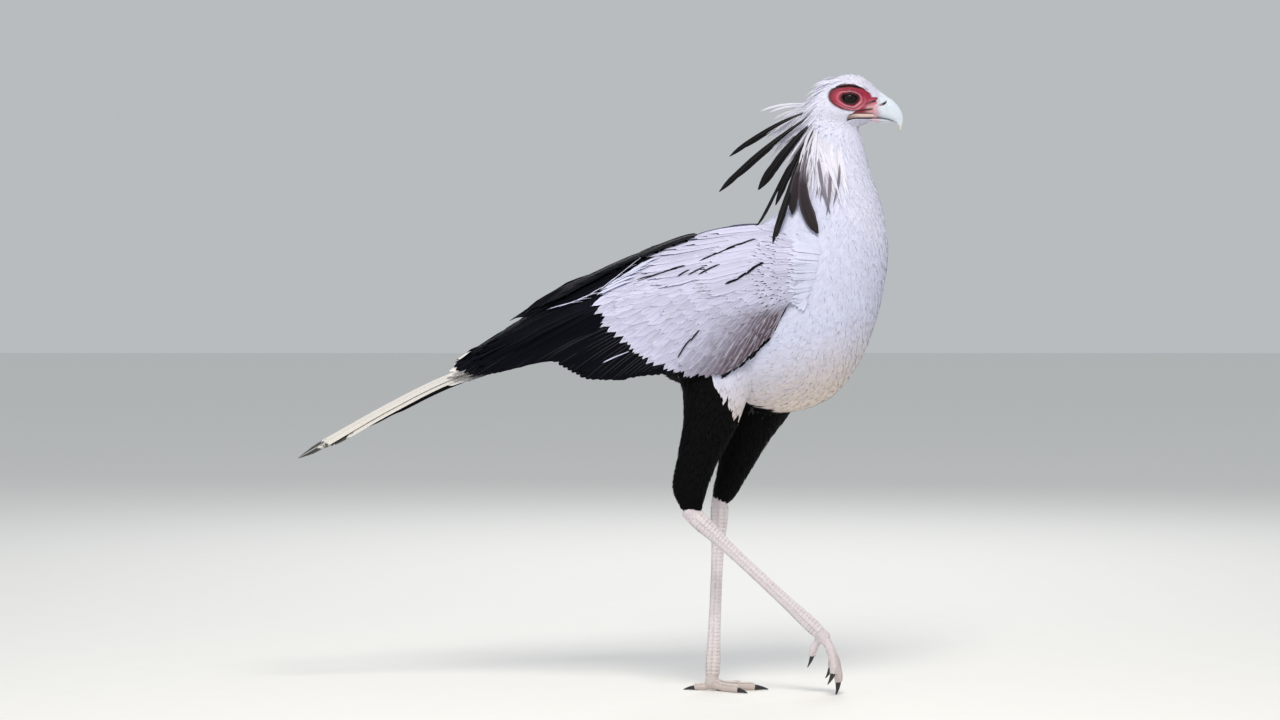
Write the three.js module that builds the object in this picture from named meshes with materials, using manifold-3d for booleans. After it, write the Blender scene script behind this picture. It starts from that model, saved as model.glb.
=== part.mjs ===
// A life-size secretary bird in mid-stride, as a still model: the left foot is planted and the right one is
// just touching down. Millimetres, +X the way it walks, +Z up, its right side towards -Y, its feet on z = 0.
import * as THREE from "three";
import { mergeVertices } from "three/addons/utils/BufferGeometryUtils.js";
import Module from "manifold-3d";

// Driving dimensions
const GAP = 0.3; // between two pieces that touch
const TARSUS_LENGTH = 324; // ankle to toe joint
const TAIL_ROOT_X = 62; // where the tail leaves the rump
const BILL_ROOT_X = 497; // the cere's rear edge
const EYE_RADIUS = 14.5;
const EYE = { x: 447, y: 23.5, z: 1068 };
const MIDDLE_TOE = 78;
const MIDDLE_CLAW = 24;
const FOOT_HEIGHT = 15; // of the planted foot's toe joint
const RIGHT_ANKLE = new THREE.Vector3(164, -50, 325);
const LEFT_ANKLE = new THREE.Vector3(216, 38, 337);
const RIGHT_TARSUS_ANGLE = 43; // degrees below the horizontal
const LEFT_FOOT = new THREE.Vector3(202, 4, FOOT_HEIGHT);

const wasm = await Module();
wasm.setup();

const rad = THREE.MathUtils.degToRad;
const lerp = THREE.MathUtils.lerp;
const clamp = THREE.MathUtils.clamp;
const smoothstep = THREE.MathUtils.smoothstep;
const v3 = (x, y, z) => new THREE.Vector3(x, y, z);
const ahead = v3(1, 0, 0);
const floorUp = v3(0, 0, 1);

// Solids from closed geometries, and back

function toSolid(geometry) {
  const bare = geometry.clone();
  bare.deleteAttribute("normal");
  bare.deleteAttribute("uv");
  const merged = mergeVertices(bare, 1e-4);
  const solid = new wasm.Manifold(
    new wasm.Mesh({
      numProp: 3,
      vertProperties: merged.attributes.position.array,
      triVerts: new Uint32Array(merged.index.array),
    }),
  );
  return solid.volume() < 0 ? toSolid(turnedInsideOut(merged)) : solid;
}

function turnedInsideOut(geometry) {
  const turned = geometry.clone();
  const index = turned.index.array;
  for (let i = 0; i < index.length; i += 3) [index[i + 1], index[i + 2]] = [index[i + 2], index[i + 1]];
  return turned;
}

function toGeometry(solid) {
  const mesh = solid.getMesh();
  const positions = new Float32Array(mesh.numVert * 3);
  for (let i = 0; i < mesh.numVert; i++)
    positions.set(mesh.vertProperties.subarray(i * mesh.numProp, i * mesh.numProp + 3), i * 3);
  const geometry = new THREE.BufferGeometry();
  geometry.setAttribute("position", new THREE.BufferAttribute(positions, 3));
  geometry.setIndex(new THREE.BufferAttribute(mesh.triVerts, 1));
  geometry.computeVertexNormals();
  return geometry;
}

const fuse = (solids) => solids.reduce((whole, solid) => whole.add(solid));

function largest(solid) {
  return solid.decompose().reduce((best, one) => (one.volume() > best.volume() ? one : best));
}

// The half of space on the far side of a plane, as one big box.
function halfSpace(point, normal) {
  const SIZE = 4000;
  const box = new THREE.BoxGeometry(SIZE, SIZE, SIZE);
  const turn = new THREE.Quaternion().setFromUnitVectors(v3(0, 0, 1), normal.clone().normalize());
  box.translate(0, 0, SIZE / 2).applyQuaternion(turn);
  box.translate(point.x, point.y, point.z);
  return toSolid(box);
}

// What lies on the normal's side of a plane, half a gap clear of it.
function beyond(solid, point, normal) {
  const step = normal.clone().normalize().multiplyScalar(GAP / 2);
  return solid.intersect(halfSpace(point.clone().add(step), normal));
}

function parted(solid, point, normal) {
  return [beyond(solid, point, normal), beyond(solid, point, normal.clone().negate())];
}

// Lofts: a cylinder's rings laid on stations that follow a body

// A smooth curve through numbers that stand for widths or heights.
function numbersCurve(values) {
  const curve = new THREE.CatmullRomCurve3(
    values.map((value, i) => v3(i, value, 0)),
    false,
    "catmullrom",
    0.5,
  );
  return (t) => curve.getPoint(t).y;
}

function pointsCurve(points) {
  const curve = new THREE.CatmullRomCurve3(points, false, "catmullrom", 0.5);
  return (t) => curve.getPoint(t);
}

// section(t) gives the ring at t: its centre, and its reach up, down and sideways as vectors.
function loft(section, around, along) {
  const geometry = new THREE.CylinderGeometry(1, 1, 1, around, along);
  const place = geometry.attributes.position;
  for (let i = 0; i < place.count; i++) {
    const x = place.getX(i);
    const z = place.getZ(i);
    const ring = section(0.5 - place.getY(i));
    const upward = z >= 0 ? ring.up : ring.down;
    const point = ring.centre
      .clone()
      .addScaledVector(ring.side, x)
      .addScaledVector(upward, Math.abs(z));
    place.setXYZ(i, point.x, point.y, point.z);
  }
  return toSolid(geometry);
}

// A body that is symmetric about y = 0 or about its own y: each station has its back and belly points in the
// side view and a half width, and waist says how far down from the back it is widest. skin adds a thickness.
function bodySection(stations, skin = 0, waist = 0.5) {
  const back = pointsCurve(stations.map((s) => v3(s.back[0], s.y ?? 0, s.back[1])));
  const belly = pointsCurve(stations.map((s) => v3(s.belly[0], s.y ?? 0, s.belly[1])));
  const half = numbersCurve(stations.map((s) => s.half));
  return (t) => {
    const top = back(t);
    const bottom = belly(t);
    const centre = top.clone().lerp(bottom, waist);
    const up = top.sub(centre);
    const down = bottom.sub(centre);
    up.setLength(up.length() + skin);
    down.setLength(down.length() + skin);
    return { centre, up, down, side: v3(0, half(t) + skin, 0) };
  };
}

// A limb, toe or claw: centres along its length with a height and a width at each.
function limbSection(stations, upward, skin = 0) {
  const line = new THREE.CatmullRomCurve3(
    stations.map((s) => s.at),
    false,
    "catmullrom",
    0.5,
  );
  const high = numbersCurve(stations.map((s) => s.high));
  const wide = numbersCurve(stations.map((s) => s.wide));
  return (t) => {
    const tangent = line.getTangent(clamp(t, 0.001, 0.999));
    const side = upward.clone().cross(tangent).normalize();
    const up = tangent.clone().cross(side).normalize().multiplyScalar(high(t) + skin);
    return {
      centre: line.getPoint(t),
      up,
      down: up.clone().negate(),
      side: side.multiplyScalar(wide(t) + skin),
    };
  };
}

// Neck and torso, from inside the head down to the rump

const TRUNK = [
  { back: [392, 1069], belly: [464, 1015], half: 20 },
  { back: [371, 1036], belly: [474, 985], half: 37 },
  { back: [368, 1003], belly: [488, 931], half: 47 },
  { back: [367, 974], belly: [510, 859], half: 58 },
  { back: [363, 938], belly: [517, 769], half: 74 },
  { back: [349, 900], belly: [486, 634], half: 92 },
  { back: [326, 873], belly: [423, 535], half: 100 },
  { back: [292, 846], belly: [333, 502], half: 102 },
  { back: [230, 824], belly: [243, 522], half: 98 },
  { back: [162, 796], belly: [162, 547], half: 87 },
  { back: [92, 756], belly: [98, 582], half: 64 },
  { back: [34, 712], belly: [40, 622], half: 38 },
  { back: [0, 676], belly: [6, 650], half: 16 },
];
const HEAD = [
  { back: [367, 1046], belly: [371, 1030], half: 8 },
  { back: [381, 1070], belly: [388, 1008], half: 26 },
  { back: [399, 1090], belly: [409, 1001], half: 33 },
  { back: [421, 1105], belly: [427, 1004], half: 35.5 },
  { back: [443, 1112], belly: [447, 1011], half: 35 },
  { back: [465, 1110], belly: [466, 1018], half: 31.5 },
  { back: [484, 1099], belly: [483, 1024], half: 23.5 },
  { back: [499, 1084], belly: [498, 1028.5], half: 16.4 },
  { back: [513, 1069], belly: [509, 1034], half: 11 },
];
const TRUNK_AROUND = 20;
const TRUNK_ALONG = 24;
const HEAD_AROUND = 22;
const HEAD_ALONG = 18;

const trunkSection = bodySection(TRUNK);
const headSection = bodySection(HEAD);
const trunk = loft(trunkSection, TRUNK_AROUND, TRUNK_ALONG);
const trunkCutter = loft(bodySection(TRUNK, GAP), TRUNK_AROUND, TRUNK_ALONG);
const headWhole = loft(headSection, HEAD_AROUND, HEAD_ALONG);
const headCutter = loft(bodySection(HEAD, GAP), HEAD_AROUND, HEAD_ALONG);

// Bill: an upper half that ends in a hook, over a thin lower half

const UPPER_BILL = [
  { back: [488, 1093.5], belly: [490, 1039.5], half: 20 },
  { back: [500, 1083.5], belly: [500, 1039], half: 16.6 },
  { back: [514, 1072], belly: [509, 1037], half: 12.8 },
  { back: [526, 1064], belly: [519, 1033], half: 10 },
  { back: [537, 1052], belly: [527, 1029], half: 7.5 },
  { back: [543.5, 1038], belly: [533, 1024], half: 5 },
  { back: [544, 1024], belly: [537, 1018], half: 3.2 },
  { back: [540, 1011], belly: [538.5, 1010], half: 0.9 },
];
const LOWER_BILL = [
  { back: [486, 1039], belly: [486, 1027.5], half: 16 },
  { back: [498, 1038.6], belly: [498, 1027], half: 14 },
  { back: [509, 1036.4], belly: [507, 1026], half: 10.5 },
  { back: [519, 1033], belly: [516, 1026], half: 7 },
  { back: [526.5, 1028.5], belly: [526, 1027.5], half: 1.5 },
];
const UPPER_WAIST = 0.72; // each half is widest where it meets the other
const LOWER_WAIST = 0.25;
const BILL_AROUND = 14;
const UPPER_ALONG = 11;
const LOWER_ALONG = 8;
const billRoot = v3(BILL_ROOT_X, 0, EYE.z);

function bill(stations, along, waist) {
  return beyond(loft(bodySection(stations, 0, waist), BILL_AROUND, along), billRoot, ahead);
}

const NOSTRIL = { at: [508, 14, 1056], radii: [5, 4, 1.9], slant: -32 };

function nostrilHole(side) {
  const hole = new THREE.SphereGeometry(1, 8, 5);
  hole.scale(...NOSTRIL.radii).rotateY(rad(NOSTRIL.slant));
  hole.translate(NOSTRIL.at[0], side * NOSTRIL.at[1], NOSTRIL.at[2]);
  return toSolid(hole);
}

// Eyes, each in a socket with lids round its opening

function eyeBall(side, radius) {
  const ball = new THREE.SphereGeometry(radius, 14, 7);
  ball.translate(EYE.x, side * EYE.y, EYE.z);
  return toSolid(ball);
}

// How wide a lofted body is at a place in the side view, or 0 beyond it.
function halfWidthAt(section, x, z) {
  const STEPS = 90;
  const NEAR = 25;
  let best = { miss: NEAR, y: 0 };
  for (let i = 0; i <= STEPS; i++) {
    const ring = section(i / STEPS);
    const offset = v3(x, 0, z).sub(ring.centre);
    const share = offset.dot(ring.up) / ring.up.lengthSq();
    const miss = offset.addScaledVector(ring.up, -share).length();
    if (Math.abs(share) < 1 && miss < best.miss) {
      best = { miss, y: ring.side.y * Math.sqrt(1 - share * share) };
    }
  }
  return best.y;
}

const LID = { along: 15, up: 10, thick: 2.3, deep: 3 };
const OPENING = { along: 13.4, up: 8.8, depth: 24, flare: 1.12 };

// A lid ring is a torus pressed oval and laid on the head's own curve.
function lids(side) {
  const TUBE = 0.18;
  const ring = new THREE.TorusGeometry(1, TUBE, 5, 14);
  const place = ring.attributes.position;
  for (let i = 0; i < place.count; i++) {
    const angle = Math.atan2(place.getY(i), place.getX(i));
    const outward = ((Math.hypot(place.getX(i), place.getY(i)) - 1) / TUBE) * LID.thick;
    const x = EYE.x + (LID.along + outward) * Math.cos(angle);
    const z = EYE.z + (LID.up + outward) * Math.sin(angle);
    const depth = (place.getZ(i) / TUBE) * LID.deep - 1;
    place.setXYZ(i, x, side * (halfWidthAt(headSection, x, z) + depth), z);
  }
  return toSolid(ring);
}

function eyeOpening(side) {
  const opening = new THREE.CylinderGeometry(OPENING.flare, 1, OPENING.depth, 14);
  opening.scale(OPENING.along, side, OPENING.up);
  opening.translate(EYE.x, side * (EYE.y + OPENING.depth * 0.67), EYE.z);
  return toSolid(opening);
}

// The bony brow that shades each eye.
const BROW = { at: [452, 31.5, 1082], radii: [20, 5, 3.6], slant: 7 };

function brow(side) {
  const ridge = new THREE.SphereGeometry(1, 10, 6);
  ridge.scale(...BROW.radii).rotateY(rad(BROW.slant));
  ridge.translate(BROW.at[0], side * BROW.at[1], BROW.at[2]);
  return toSolid(ridge);
}

// The line of the mouth runs back from the bill under the eye as a shallow groove.
const MOUTH = { x: 462, z: 1038.2, length: 78, height: 2, depth: 2.4 };

function mouthLine() {
  const groove = new THREE.BoxGeometry(MOUTH.length, 3 * MOUTH.length, MOUTH.height);
  groove.translate(MOUTH.x, 0, MOUTH.z);
  return toSolid(groove).subtract(loft(bodySection(HEAD, -MOUTH.depth), HEAD_AROUND, HEAD_ALONG / 2));
}

// Legs

const thigh = (stations, skin = 0) => loft(bodySection(stations, skin), 14, 10);

const RIGHT_THIGH = [
  { back: [160, 640], belly: [300, 660], half: 26, y: -50 },
  { back: [137, 590], belly: [296, 600], half: 45, y: -52 },
  { back: [146, 545], belly: [268, 530], half: 44, y: -54 },
  { back: [147, 490], belly: [243, 472], half: 35, y: -54 },
  { back: [137, 428], belly: [212, 414], half: 27, y: -52 },
  { back: [128, 374], belly: [193, 362], half: 20, y: -51 },
  { back: [143, 332], belly: [185, 330], half: 13, y: -50 },
];
const LEFT_THIGH = [
  { back: [180, 640], belly: [340, 640], half: 26, y: 48 },
  { back: [180, 590], belly: [362, 590], half: 44, y: 50 },
  { back: [200, 520], belly: [356, 516], half: 44, y: 50 },
  { back: [216, 462], belly: [312, 455], half: 34, y: 47 },
  { back: [210, 400], belly: [276, 398], half: 26, y: 43 },
  { back: [202, 358], belly: [250, 354], half: 19, y: 40 },
  { back: [203, 338], belly: [234, 336], half: 13, y: 38 },
];

function rightFootJoint() {
  const angle = rad(RIGHT_TARSUS_ANGLE);
  const OUTWARD = -0.02;
  const way = v3(Math.cos(angle), OUTWARD, -Math.sin(angle));
  return RIGHT_ANKLE.clone().addScaledVector(way, TARSUS_LENGTH);
}

// Scutes ring the front of the shank as low steps.
function tarsus(ankle, foot, forward) {
  const STEPS = 24;
  const SCUTE_DEPTH = 0.7;
  const line = new THREE.LineCurve3(ankle, foot);
  const across = forward.clone().cross(line.getTangent(0)).normalize();
  const front = line.getTangent(0).clone().cross(across).normalize();
  const high = numbersCurve([15, 15, 11.5, 10.2, 10, 10.2, 11, 12.5, 11]);
  const wide = numbersCurve([12, 12, 9, 7.8, 7.6, 7.8, 8.6, 12, 11]);
  const START = -0.05; // it begins a little above the ankle's centre and ends inside the foot
  const END = 1.02;
  const BACK_SHARE = 0.5; // of a scute's step that reaches the sides
  return loft(
    (t) => {
      const step = (Math.round(t * STEPS) % 2) * SCUTE_DEPTH;
      return {
        centre: line.getPoint(lerp(START, END, t)),
        up: front.clone().multiplyScalar(high(t) + step),
        down: front.clone().multiplyScalar(-high(t)),
        side: across.clone().multiplyScalar(wide(t) + step * BACK_SHARE),
      };
    },
    8,
    STEPS,
  );
}

// Toes and claws

const TOE_BULGES = [1, 1, 0.86, 0.98, 0.84, 0.92, 0.7]; // pads and joints along a toe
const TOE_WIDTH = 0.94; // of its height
const CLAW_ROOT = 0.66; // of the toe's thickness
const CLAW_TAPER = 0.86;
const CLAW_SINK = 0.3; // share of a claw's length inside the toe

function toe(points, thick, upward) {
  const line = new THREE.CatmullRomCurve3(points, false, "catmullrom", 0.5);
  const stations = TOE_BULGES.map((bulge, i) => ({
    at: line.getPoint(i / (TOE_BULGES.length - 1)),
    high: thick * bulge,
    wide: thick * bulge * TOE_WIDTH,
  }));
  return loft(limbSection(stations, upward), 7, 7);
}

function claw({ end, way, claw: length, thick, droop, upward }) {
  const start = end.clone().addScaledVector(way, -length * CLAW_SINK);
  const stations = [0, 0.3, 0.55, 0.8, 1].map((t) => {
    const radius = thick * CLAW_ROOT * (1 - CLAW_TAPER * t ** 1.5);
    const at = start.clone().addScaledVector(way, t * length * (1 + CLAW_SINK));
    return { at: at.add(v3(0, 0, -droop * t * t)), high: radius, wide: radius * 0.8 };
  });
  return loft(limbSection(stations, upward), 6, 4);
}

const ontoFloor = (solid) => solid.intersect(halfSpace(v3(0, 0, 0), floorUp));

// The planted foot: three toes forward and one back, flat on the floor.
function plantedToes(joint) {
  const toes = [
    { name: "middle", heading: 1, reach: MIDDLE_TOE, claw: MIDDLE_CLAW, thick: 8.5 },
    { name: "inner", heading: -38, reach: 60, claw: 20, thick: 8 },
    { name: "outer", heading: 36, reach: 64, claw: 20, thick: 8 },
    { name: "hind", heading: 172, reach: 32, claw: 20, thick: 7 },
  ];
  const SUNK = 0.82; // a toe's centre lies this share of its thickness above the floor, so its pads are flat
  return toes.map((one) => {
    const way = v3(Math.cos(rad(one.heading)), Math.sin(rad(one.heading)), 0);
    const at = (share, height) => v3(joint.x, joint.y, height).addScaledVector(way, one.reach * share);
    const flat = one.thick * SUNK;
    const points = [at(0, joint.z), at(0.25, flat + 2.5), at(0.55, flat), at(0.8, flat), at(1, flat * 0.8)];
    return { ...one, way, points, end: points[4], droop: 4, upward: floorUp };
  });
}

// The foot that is touching down: the middle toe reaches the floor with its claw, the others hang beside it.
function hangingToes(joint) {
  const at = (x, y, z) => v3(joint.x + x, joint.y + y, joint.z + z);
  return [
    {
      name: "middle",
      claw: MIDDLE_CLAW,
      thick: 8.5,
      points: [at(0, 0, 0), at(12, 0, -20), at(21, 0, -42), at(26, 0, -64), at(27, 0, -82)],
      way: v3(0.12, 0, -1).normalize(),
    },
    {
      name: "inner",
      claw: 20,
      thick: 8,
      points: [at(0, 2, 0), at(9, 14, -16), at(15, 22, -32), at(17, 27, -48), at(15, 30, -60)],
      way: v3(-0.18, 0.12, -1).normalize(),
    },
    {
      name: "outer",
      claw: 20,
      thick: 8,
      points: [at(0, -2, 0), at(10, -13, -17), at(16, -21, -35), at(18, -26, -51), at(16, -29, -64)],
      way: v3(-0.18, -0.12, -1).normalize(),
    },
    {
      name: "hind",
      claw: 20,
      thick: 7,
      points: [at(0, 0, 0), at(-11, 2, -10), at(-17, 4, -21), at(-20, 5, -31), at(-20, 5, -36)],
      way: v3(-0.1, 0.05, -1).normalize(),
    },
  ].map((one) => ({ ...one, end: one.points[4], droop: 0, upward: ahead }));
}

// Wings: an outer skin over the side of the body, given as a distance from the middle plane at each (x, z)

const WING = [
  { x: -261, top: 596, bottom: 578, ridge: 9, widest: 34 },
  { x: -180, top: 650, bottom: 575, ridge: 9, widest: 47 },
  { x: -108, top: 689, bottom: 586, ridge: 10, widest: 60 },
  { x: -36, top: 734, bottom: 568, ridge: 12, widest: 75 },
  { x: 36, top: 768, bottom: 563, ridge: 14, widest: 90 },
  { x: 108, top: 795, bottom: 566, ridge: 17, widest: 103 },
  { x: 180, top: 824, bottom: 576, ridge: 22, widest: 111 },
  { x: 252, top: 838, bottom: 614, ridge: 28, widest: 115 },
  { x: 306, top: 838, bottom: 668, ridge: 38, widest: 115 },
  { x: 366, top: 806, bottom: 728, ridge: 76, widest: 104 },
];

function wingAt(x) {
  const before = WING.filter((s) => s.x <= x).length - 1;
  const i = clamp(before, 0, WING.length - 2);
  const a = WING[i];
  const b = WING[i + 1];
  const t = clamp((x - a.x) / (b.x - a.x), 0, 1);
  const mix = (key) => lerp(a[key], b[key], t);
  return { top: mix("top"), bottom: mix("bottom"), ridge: mix("ridge"), widest: mix("widest") };
}

function wingSkin(x, z) {
  const WIDEST_AT = 0.42; // of the way down
  const TUCK = 0.16; // how far the lower edge turns in again
  const s = wingAt(x);
  const drop = clamp((s.top - z) / (s.top - s.bottom), 0, 1.1);
  const over = Math.sin((Math.PI / 2) * Math.min(drop / WIDEST_AT, 1)) ** 0.8;
  const under = TUCK * Math.max((drop - WIDEST_AT) / (1 - WIDEST_AT), 0) ** 2;
  return lerp(s.ridge, s.widest, over - under);
}

// The wing's body lies under its skin, reaches in to the trunk, and thins out behind it.
const CORE = { rear: -190, front: 352, depth: 6, inset: 9, nose: 9, thin: 4, thick: 60 };

function wingCore(side) {
  const ALONG = 11;
  const DOWN = 5;
  const box = new THREE.BoxGeometry(1, 1, 1, ALONG, 1, DOWN);
  const place = box.attributes.position;
  for (let i = 0; i < place.count; i++) {
    const drop = (0.5 - place.getZ(i)) ** 1.5; // closer together where the back turns
    const x = lerp(CORE.rear, CORE.front, place.getX(i) + 0.5);
    const s = wingAt(x);
    const z = lerp(s.top - CORE.inset * 0.5, s.bottom + CORE.inset, drop);
    const nose = CORE.nose * smoothstep(x, CORE.front - 30, CORE.front);
    const outer = wingSkin(x, z) - CORE.depth - nose;
    const thick = lerp(CORE.thin, CORE.thick, clamp((x + 60) / 120, 0, 1));
    const inner = Math.max(outer - thick, GAP);
    place.setXYZ(i, x, side * (place.getY(i) < 0 ? inner : outer), z);
  }
  return toSolid(box);
}

// Feathers

const SEED = 20111;
let draws = 0;

// A number between -size and size, the same ones in every build.
function jitter(size) {
  draws += 1;
  return THREE.MathUtils.seededRandom(SEED + draws * 7919) * 2 * size - size;
}

// A thin plate along a shaft: place(t, u, under) gives a point of it, with t from root to tip, u from -1 to 1
// across, and under 0 on the outer face and 1 on the inner one. Both faces are split alike.
function vane(place, stops) {
  const rows = stops.length;
  const last = rows - 1;
  const positions = [];
  for (const under of [0, 1]) {
    for (const t of stops) {
      for (const u of [-1, 0, 1]) positions.push(...place(t, u, under).toArray());
    }
  }
  const over = (i, j) => i * 3 + j;
  const below = (i, j) => (rows + i) * 3 + j;
  const index = [];
  const quad = (a, b, c, d) => index.push(a, b, c, a, c, d);
  for (let i = 0; i < last; i++) {
    for (const j of [0, 1]) {
      quad(over(i, j), over(i + 1, j), over(i + 1, j + 1), over(i, j + 1));
      quad(below(i + 1, j + 1), below(i + 1, j), below(i, j), below(i, j + 1));
    }
    quad(over(i + 1, 0), over(i, 0), below(i, 0), below(i + 1, 0));
    quad(over(i, 2), over(i + 1, 2), below(i + 1, 2), below(i, 2));
  }
  for (const j of [0, 1]) {
    quad(over(0, j), over(0, j + 1), below(0, j + 1), below(0, j));
    quad(over(last, j + 1), over(last, j), below(last, j), below(last, j + 1));
  }
  const geometry = new THREE.BufferGeometry();
  geometry.setAttribute("position", new THREE.Float32BufferAttribute(positions, 3));
  geometry.setIndex(index);
  return toSolid(geometry);
}

// Half widths along a feather with a round tip, as shares of its widest.
const ROUND_TIP = numbersCurve([0.16, 0.42, 0.8, 0.96, 1, 0.94, 0.3]);
const LONG_STOPS = [0, 0.2, 0.9, 1];
const SHORT_STOPS = [0, 0.25, 0.84, 1];
const VANE_THICKNESS = 0.8;
const SHINGLE_SLOPE = 3.8; // how much higher a feather's tip lies than its root
const ROOT_DEPTH = 14;

function wingNormal(side, x, z) {
  const STEP = 3;
  const slopeX = (wingSkin(x + STEP, z) - wingSkin(x - STEP, z)) / (2 * STEP);
  const slopeZ = (wingSkin(x, z + STEP) - wingSkin(x, z - STEP)) / (2 * STEP);
  return v3(-slopeX, side, -slopeZ).normalize();
}

// One feather laid on a wing's skin from root to tip, both given in the side view. lift is how far its tip
// stands off the skin, and tilt raises its lower edge over the next feather down.
function wingVane(side, { root, tip, half, lift, tilt, stops }) {
  const BOW = 0.05; // how far the shaft bends down, as a share of its length
  const bow = v3(tip.z - root.z, 0, root.x - tip.x).multiplyScalar(BOW);
  const bend = root.clone().lerp(tip, 0.5).add(bow);
  const shaft = new THREE.QuadraticBezierCurve3(root, bend, tip);
  const onSkin = (p) => v3(p.x, side * wingSkin(p.x, p.z), p.z);
  const shaftAt = (t) => onSkin(shaft.getPoint(clamp(t, 0, 1)));
  return vane((t, u, under) => {
    const centre = shaftAt(t);
    const tangent = shaftAt(t + 0.02).sub(shaftAt(t - 0.02));
    const normal = wingNormal(side, centre.x, centre.z);
    const across = normal.clone().cross(tangent).normalize();
    if (across.z > 0) across.negate();
    const offset = u * half * ROUND_TIP(t);
    const point = centre.clone().addScaledVector(across, offset);
    const overRidge = point.z > wingAt(centre.x).top - 2;
    const probe = overRidge ? centre.clone().addScaledVector(across, -offset) : point;
    const drop = clamp(onSkin(probe).sub(probe).dot(normal), -0.4 * half, 0);
    const rise = lerp(-ROOT_DEPTH, lift, smoothstep(t, 0, stops[1])) + SHINGLE_SLOPE * t + tilt * u;
    return point.addScaledVector(normal, drop + rise - under * VANE_THICKNESS);
  }, stops);
}

const sideCurve = (pairs) => pointsCurve(pairs.map(([x, z]) => v3(x, 0, z)));

function wingRow(side, row) {
  const roots = sideCurve(row.roots);
  const tips = sideCurve(row.tips);
  return Array.from({ length: row.count }, (_, i) => {
    const share = clamp((i + jitter(0.12)) / (row.count - 1), 0, 1);
    const tip = tips(share).add(v3(jitter(3), 0, jitter(2)));
    const half = row.half * (1 + jitter(0.06));
    return wingVane(side, { ...row, root: roots(share), tip, half });
  });
}

// Rows, each from the back down to the belly: flight feathers, greater, median and lesser coverts, shoulder.
const WING_ROWS = [
  {
    roots: [
      [128, 796], [108, 778], [88, 760], [72, 740], [60, 718], [54, 696], [60, 674], [78, 652], [108, 630],
      [150, 606],
    ],
    tips: [
      [-2, 740], [-96, 684], [-176, 638], [-236, 604], [-262, 584], [-206, 570], [-150, 576], [-92, 588],
      [-36, 566], [20, 559], [88, 560],
    ],
    count: 12, half: 18, lift: 0, tilt: 1.8, stops: LONG_STOPS,
  },
  {
    roots: [[190, 822], [152, 790], [122, 755], [130, 715], [162, 688], [202, 666], [243, 652], [272, 642]],
    tips: [[104, 790], [42, 744], [-3, 700], [11, 661], [54, 621], [108, 589], [162, 572], [212, 574]],
    count: 11, half: 22, lift: 1.6, tilt: 1, stops: SHORT_STOPS,
  },
  {
    roots: [[248, 836], [216, 806], [190, 775], [190, 745], [215, 715], [250, 695], [294, 678]],
    tips: [[168, 812], [116, 772], [75, 730], [99, 694], [140, 661], [189, 630], [246, 610]],
    count: 9, half: 22, lift: 2, tilt: 1, stops: SHORT_STOPS,
  },
  {
    roots: [[306, 838], [280, 812], [262, 785], [262, 758], [280, 732], [305, 714], [328, 706]],
    tips: [[230, 830], [190, 795], [160, 755], [175, 722], [210, 692], [252, 665], [290, 655]],
    count: 7, half: 22, lift: 2.3, tilt: 1, stops: SHORT_STOPS,
  },
  {
    roots: [[346, 822], [342, 802], [336, 780], [336, 760], [346, 744], [352, 738]],
    tips: [[288, 834], [262, 803], [238, 770], [248, 738], [280, 712], [318, 696]],
    count: 6, half: 21, lift: 2.6, tilt: 1, stops: SHORT_STOPS,
  },
];

const wing = (side) => fuse([wingCore(side), ...WING_ROWS.flatMap((row) => wingRow(side, row))]);

// Tail

const TAIL_LINE = pointsCurve([
  v3(52, 0, 668),
  v3(-72, 0, 632),
  v3(-180, 0, 599),
  v3(-286, 0, 560),
  v3(-383, 0, 511),
  v3(-459, 0, 468),
  v3(-544, 0, 419),
]);

// Half widths along a tail feather.
const TAIL_TIP = numbersCurve([0.5, 0.72, 0.86, 0.94, 1, 1, 0.96, 0.3]);

// The tail is a stack of feathers over one shallow arch, turned a little towards the bird's right. A feather
// follows the tail's line as far as reach, aside of it by aside, and lies below the top one by lower.
const TAIL_TURN = rad(16);
const TAIL_ARCH = 0.004;
const TAIL_THICKNESS = 1;

function tailVane({ reach, aside, half, lower, steps }, skin = 0) {
  const stops = Array.from({ length: steps }, (_, i) => i / steps).concat([1 - 0.25 / steps, 1]);
  const lineAt = (t) => TAIL_LINE(clamp(t * reach, 0, 1));
  return vane((t, u, under) => {
    const tangent = lineAt(t + 0.01).sub(lineAt(t - 0.01)).normalize();
    const upright = v3(tangent.z, 0, -tangent.x);
    const across = v3(0, Math.cos(TAIL_TURN), 0).addScaledVector(upright, Math.sin(TAIL_TURN));
    const normal = v3(0, -Math.sin(TAIL_TURN), 0).addScaledVector(upright, Math.cos(TAIL_TURN));
    const y = aside * lerp(0.35, 1, Math.min(1, t * 1.6)) + u * (half * TAIL_TIP(t) + skin);
    const face = (under ? 1 : -1) * (TAIL_THICKNESS / 2 + skin);
    const depth = lower * lerp(0.6, 1, Math.min(1, t * 3)) + face;
    return lineAt(t).addScaledVector(across, y).addScaledVector(normal, -depth - TAIL_ARCH * y * y);
  }, stops);
}

// The two long middle feathers lie over three graded pairs.
const TAIL_FEATHERS = [
  { reach: 1, aside: -7, half: 22, lower: 0, steps: 8 },
  { reach: 0.865, aside: 7, half: 22, lower: 2.2, steps: 7 },
  { reach: 0.5, aside: -9.5, half: 18, lower: 4.4, steps: 3 },
  { reach: 0.5, aside: 9.5, half: 18, lower: 6, steps: 3 },
  { reach: 0.44, aside: -12, half: 18, lower: 7.6, steps: 3 },
  { reach: 0.44, aside: 12, half: 18, lower: 9.2, steps: 3 },
  { reach: 0.38, aside: -14.5, half: 18, lower: 10.8, steps: 3 },
  { reach: 0.38, aside: 14.5, half: 18, lower: 12.4, steps: 3 },
];
const tailFeathers = (skin = 0) => fuse(TAIL_FEATHERS.map((one) => tailVane(one, skin)));

// Crest

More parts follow.
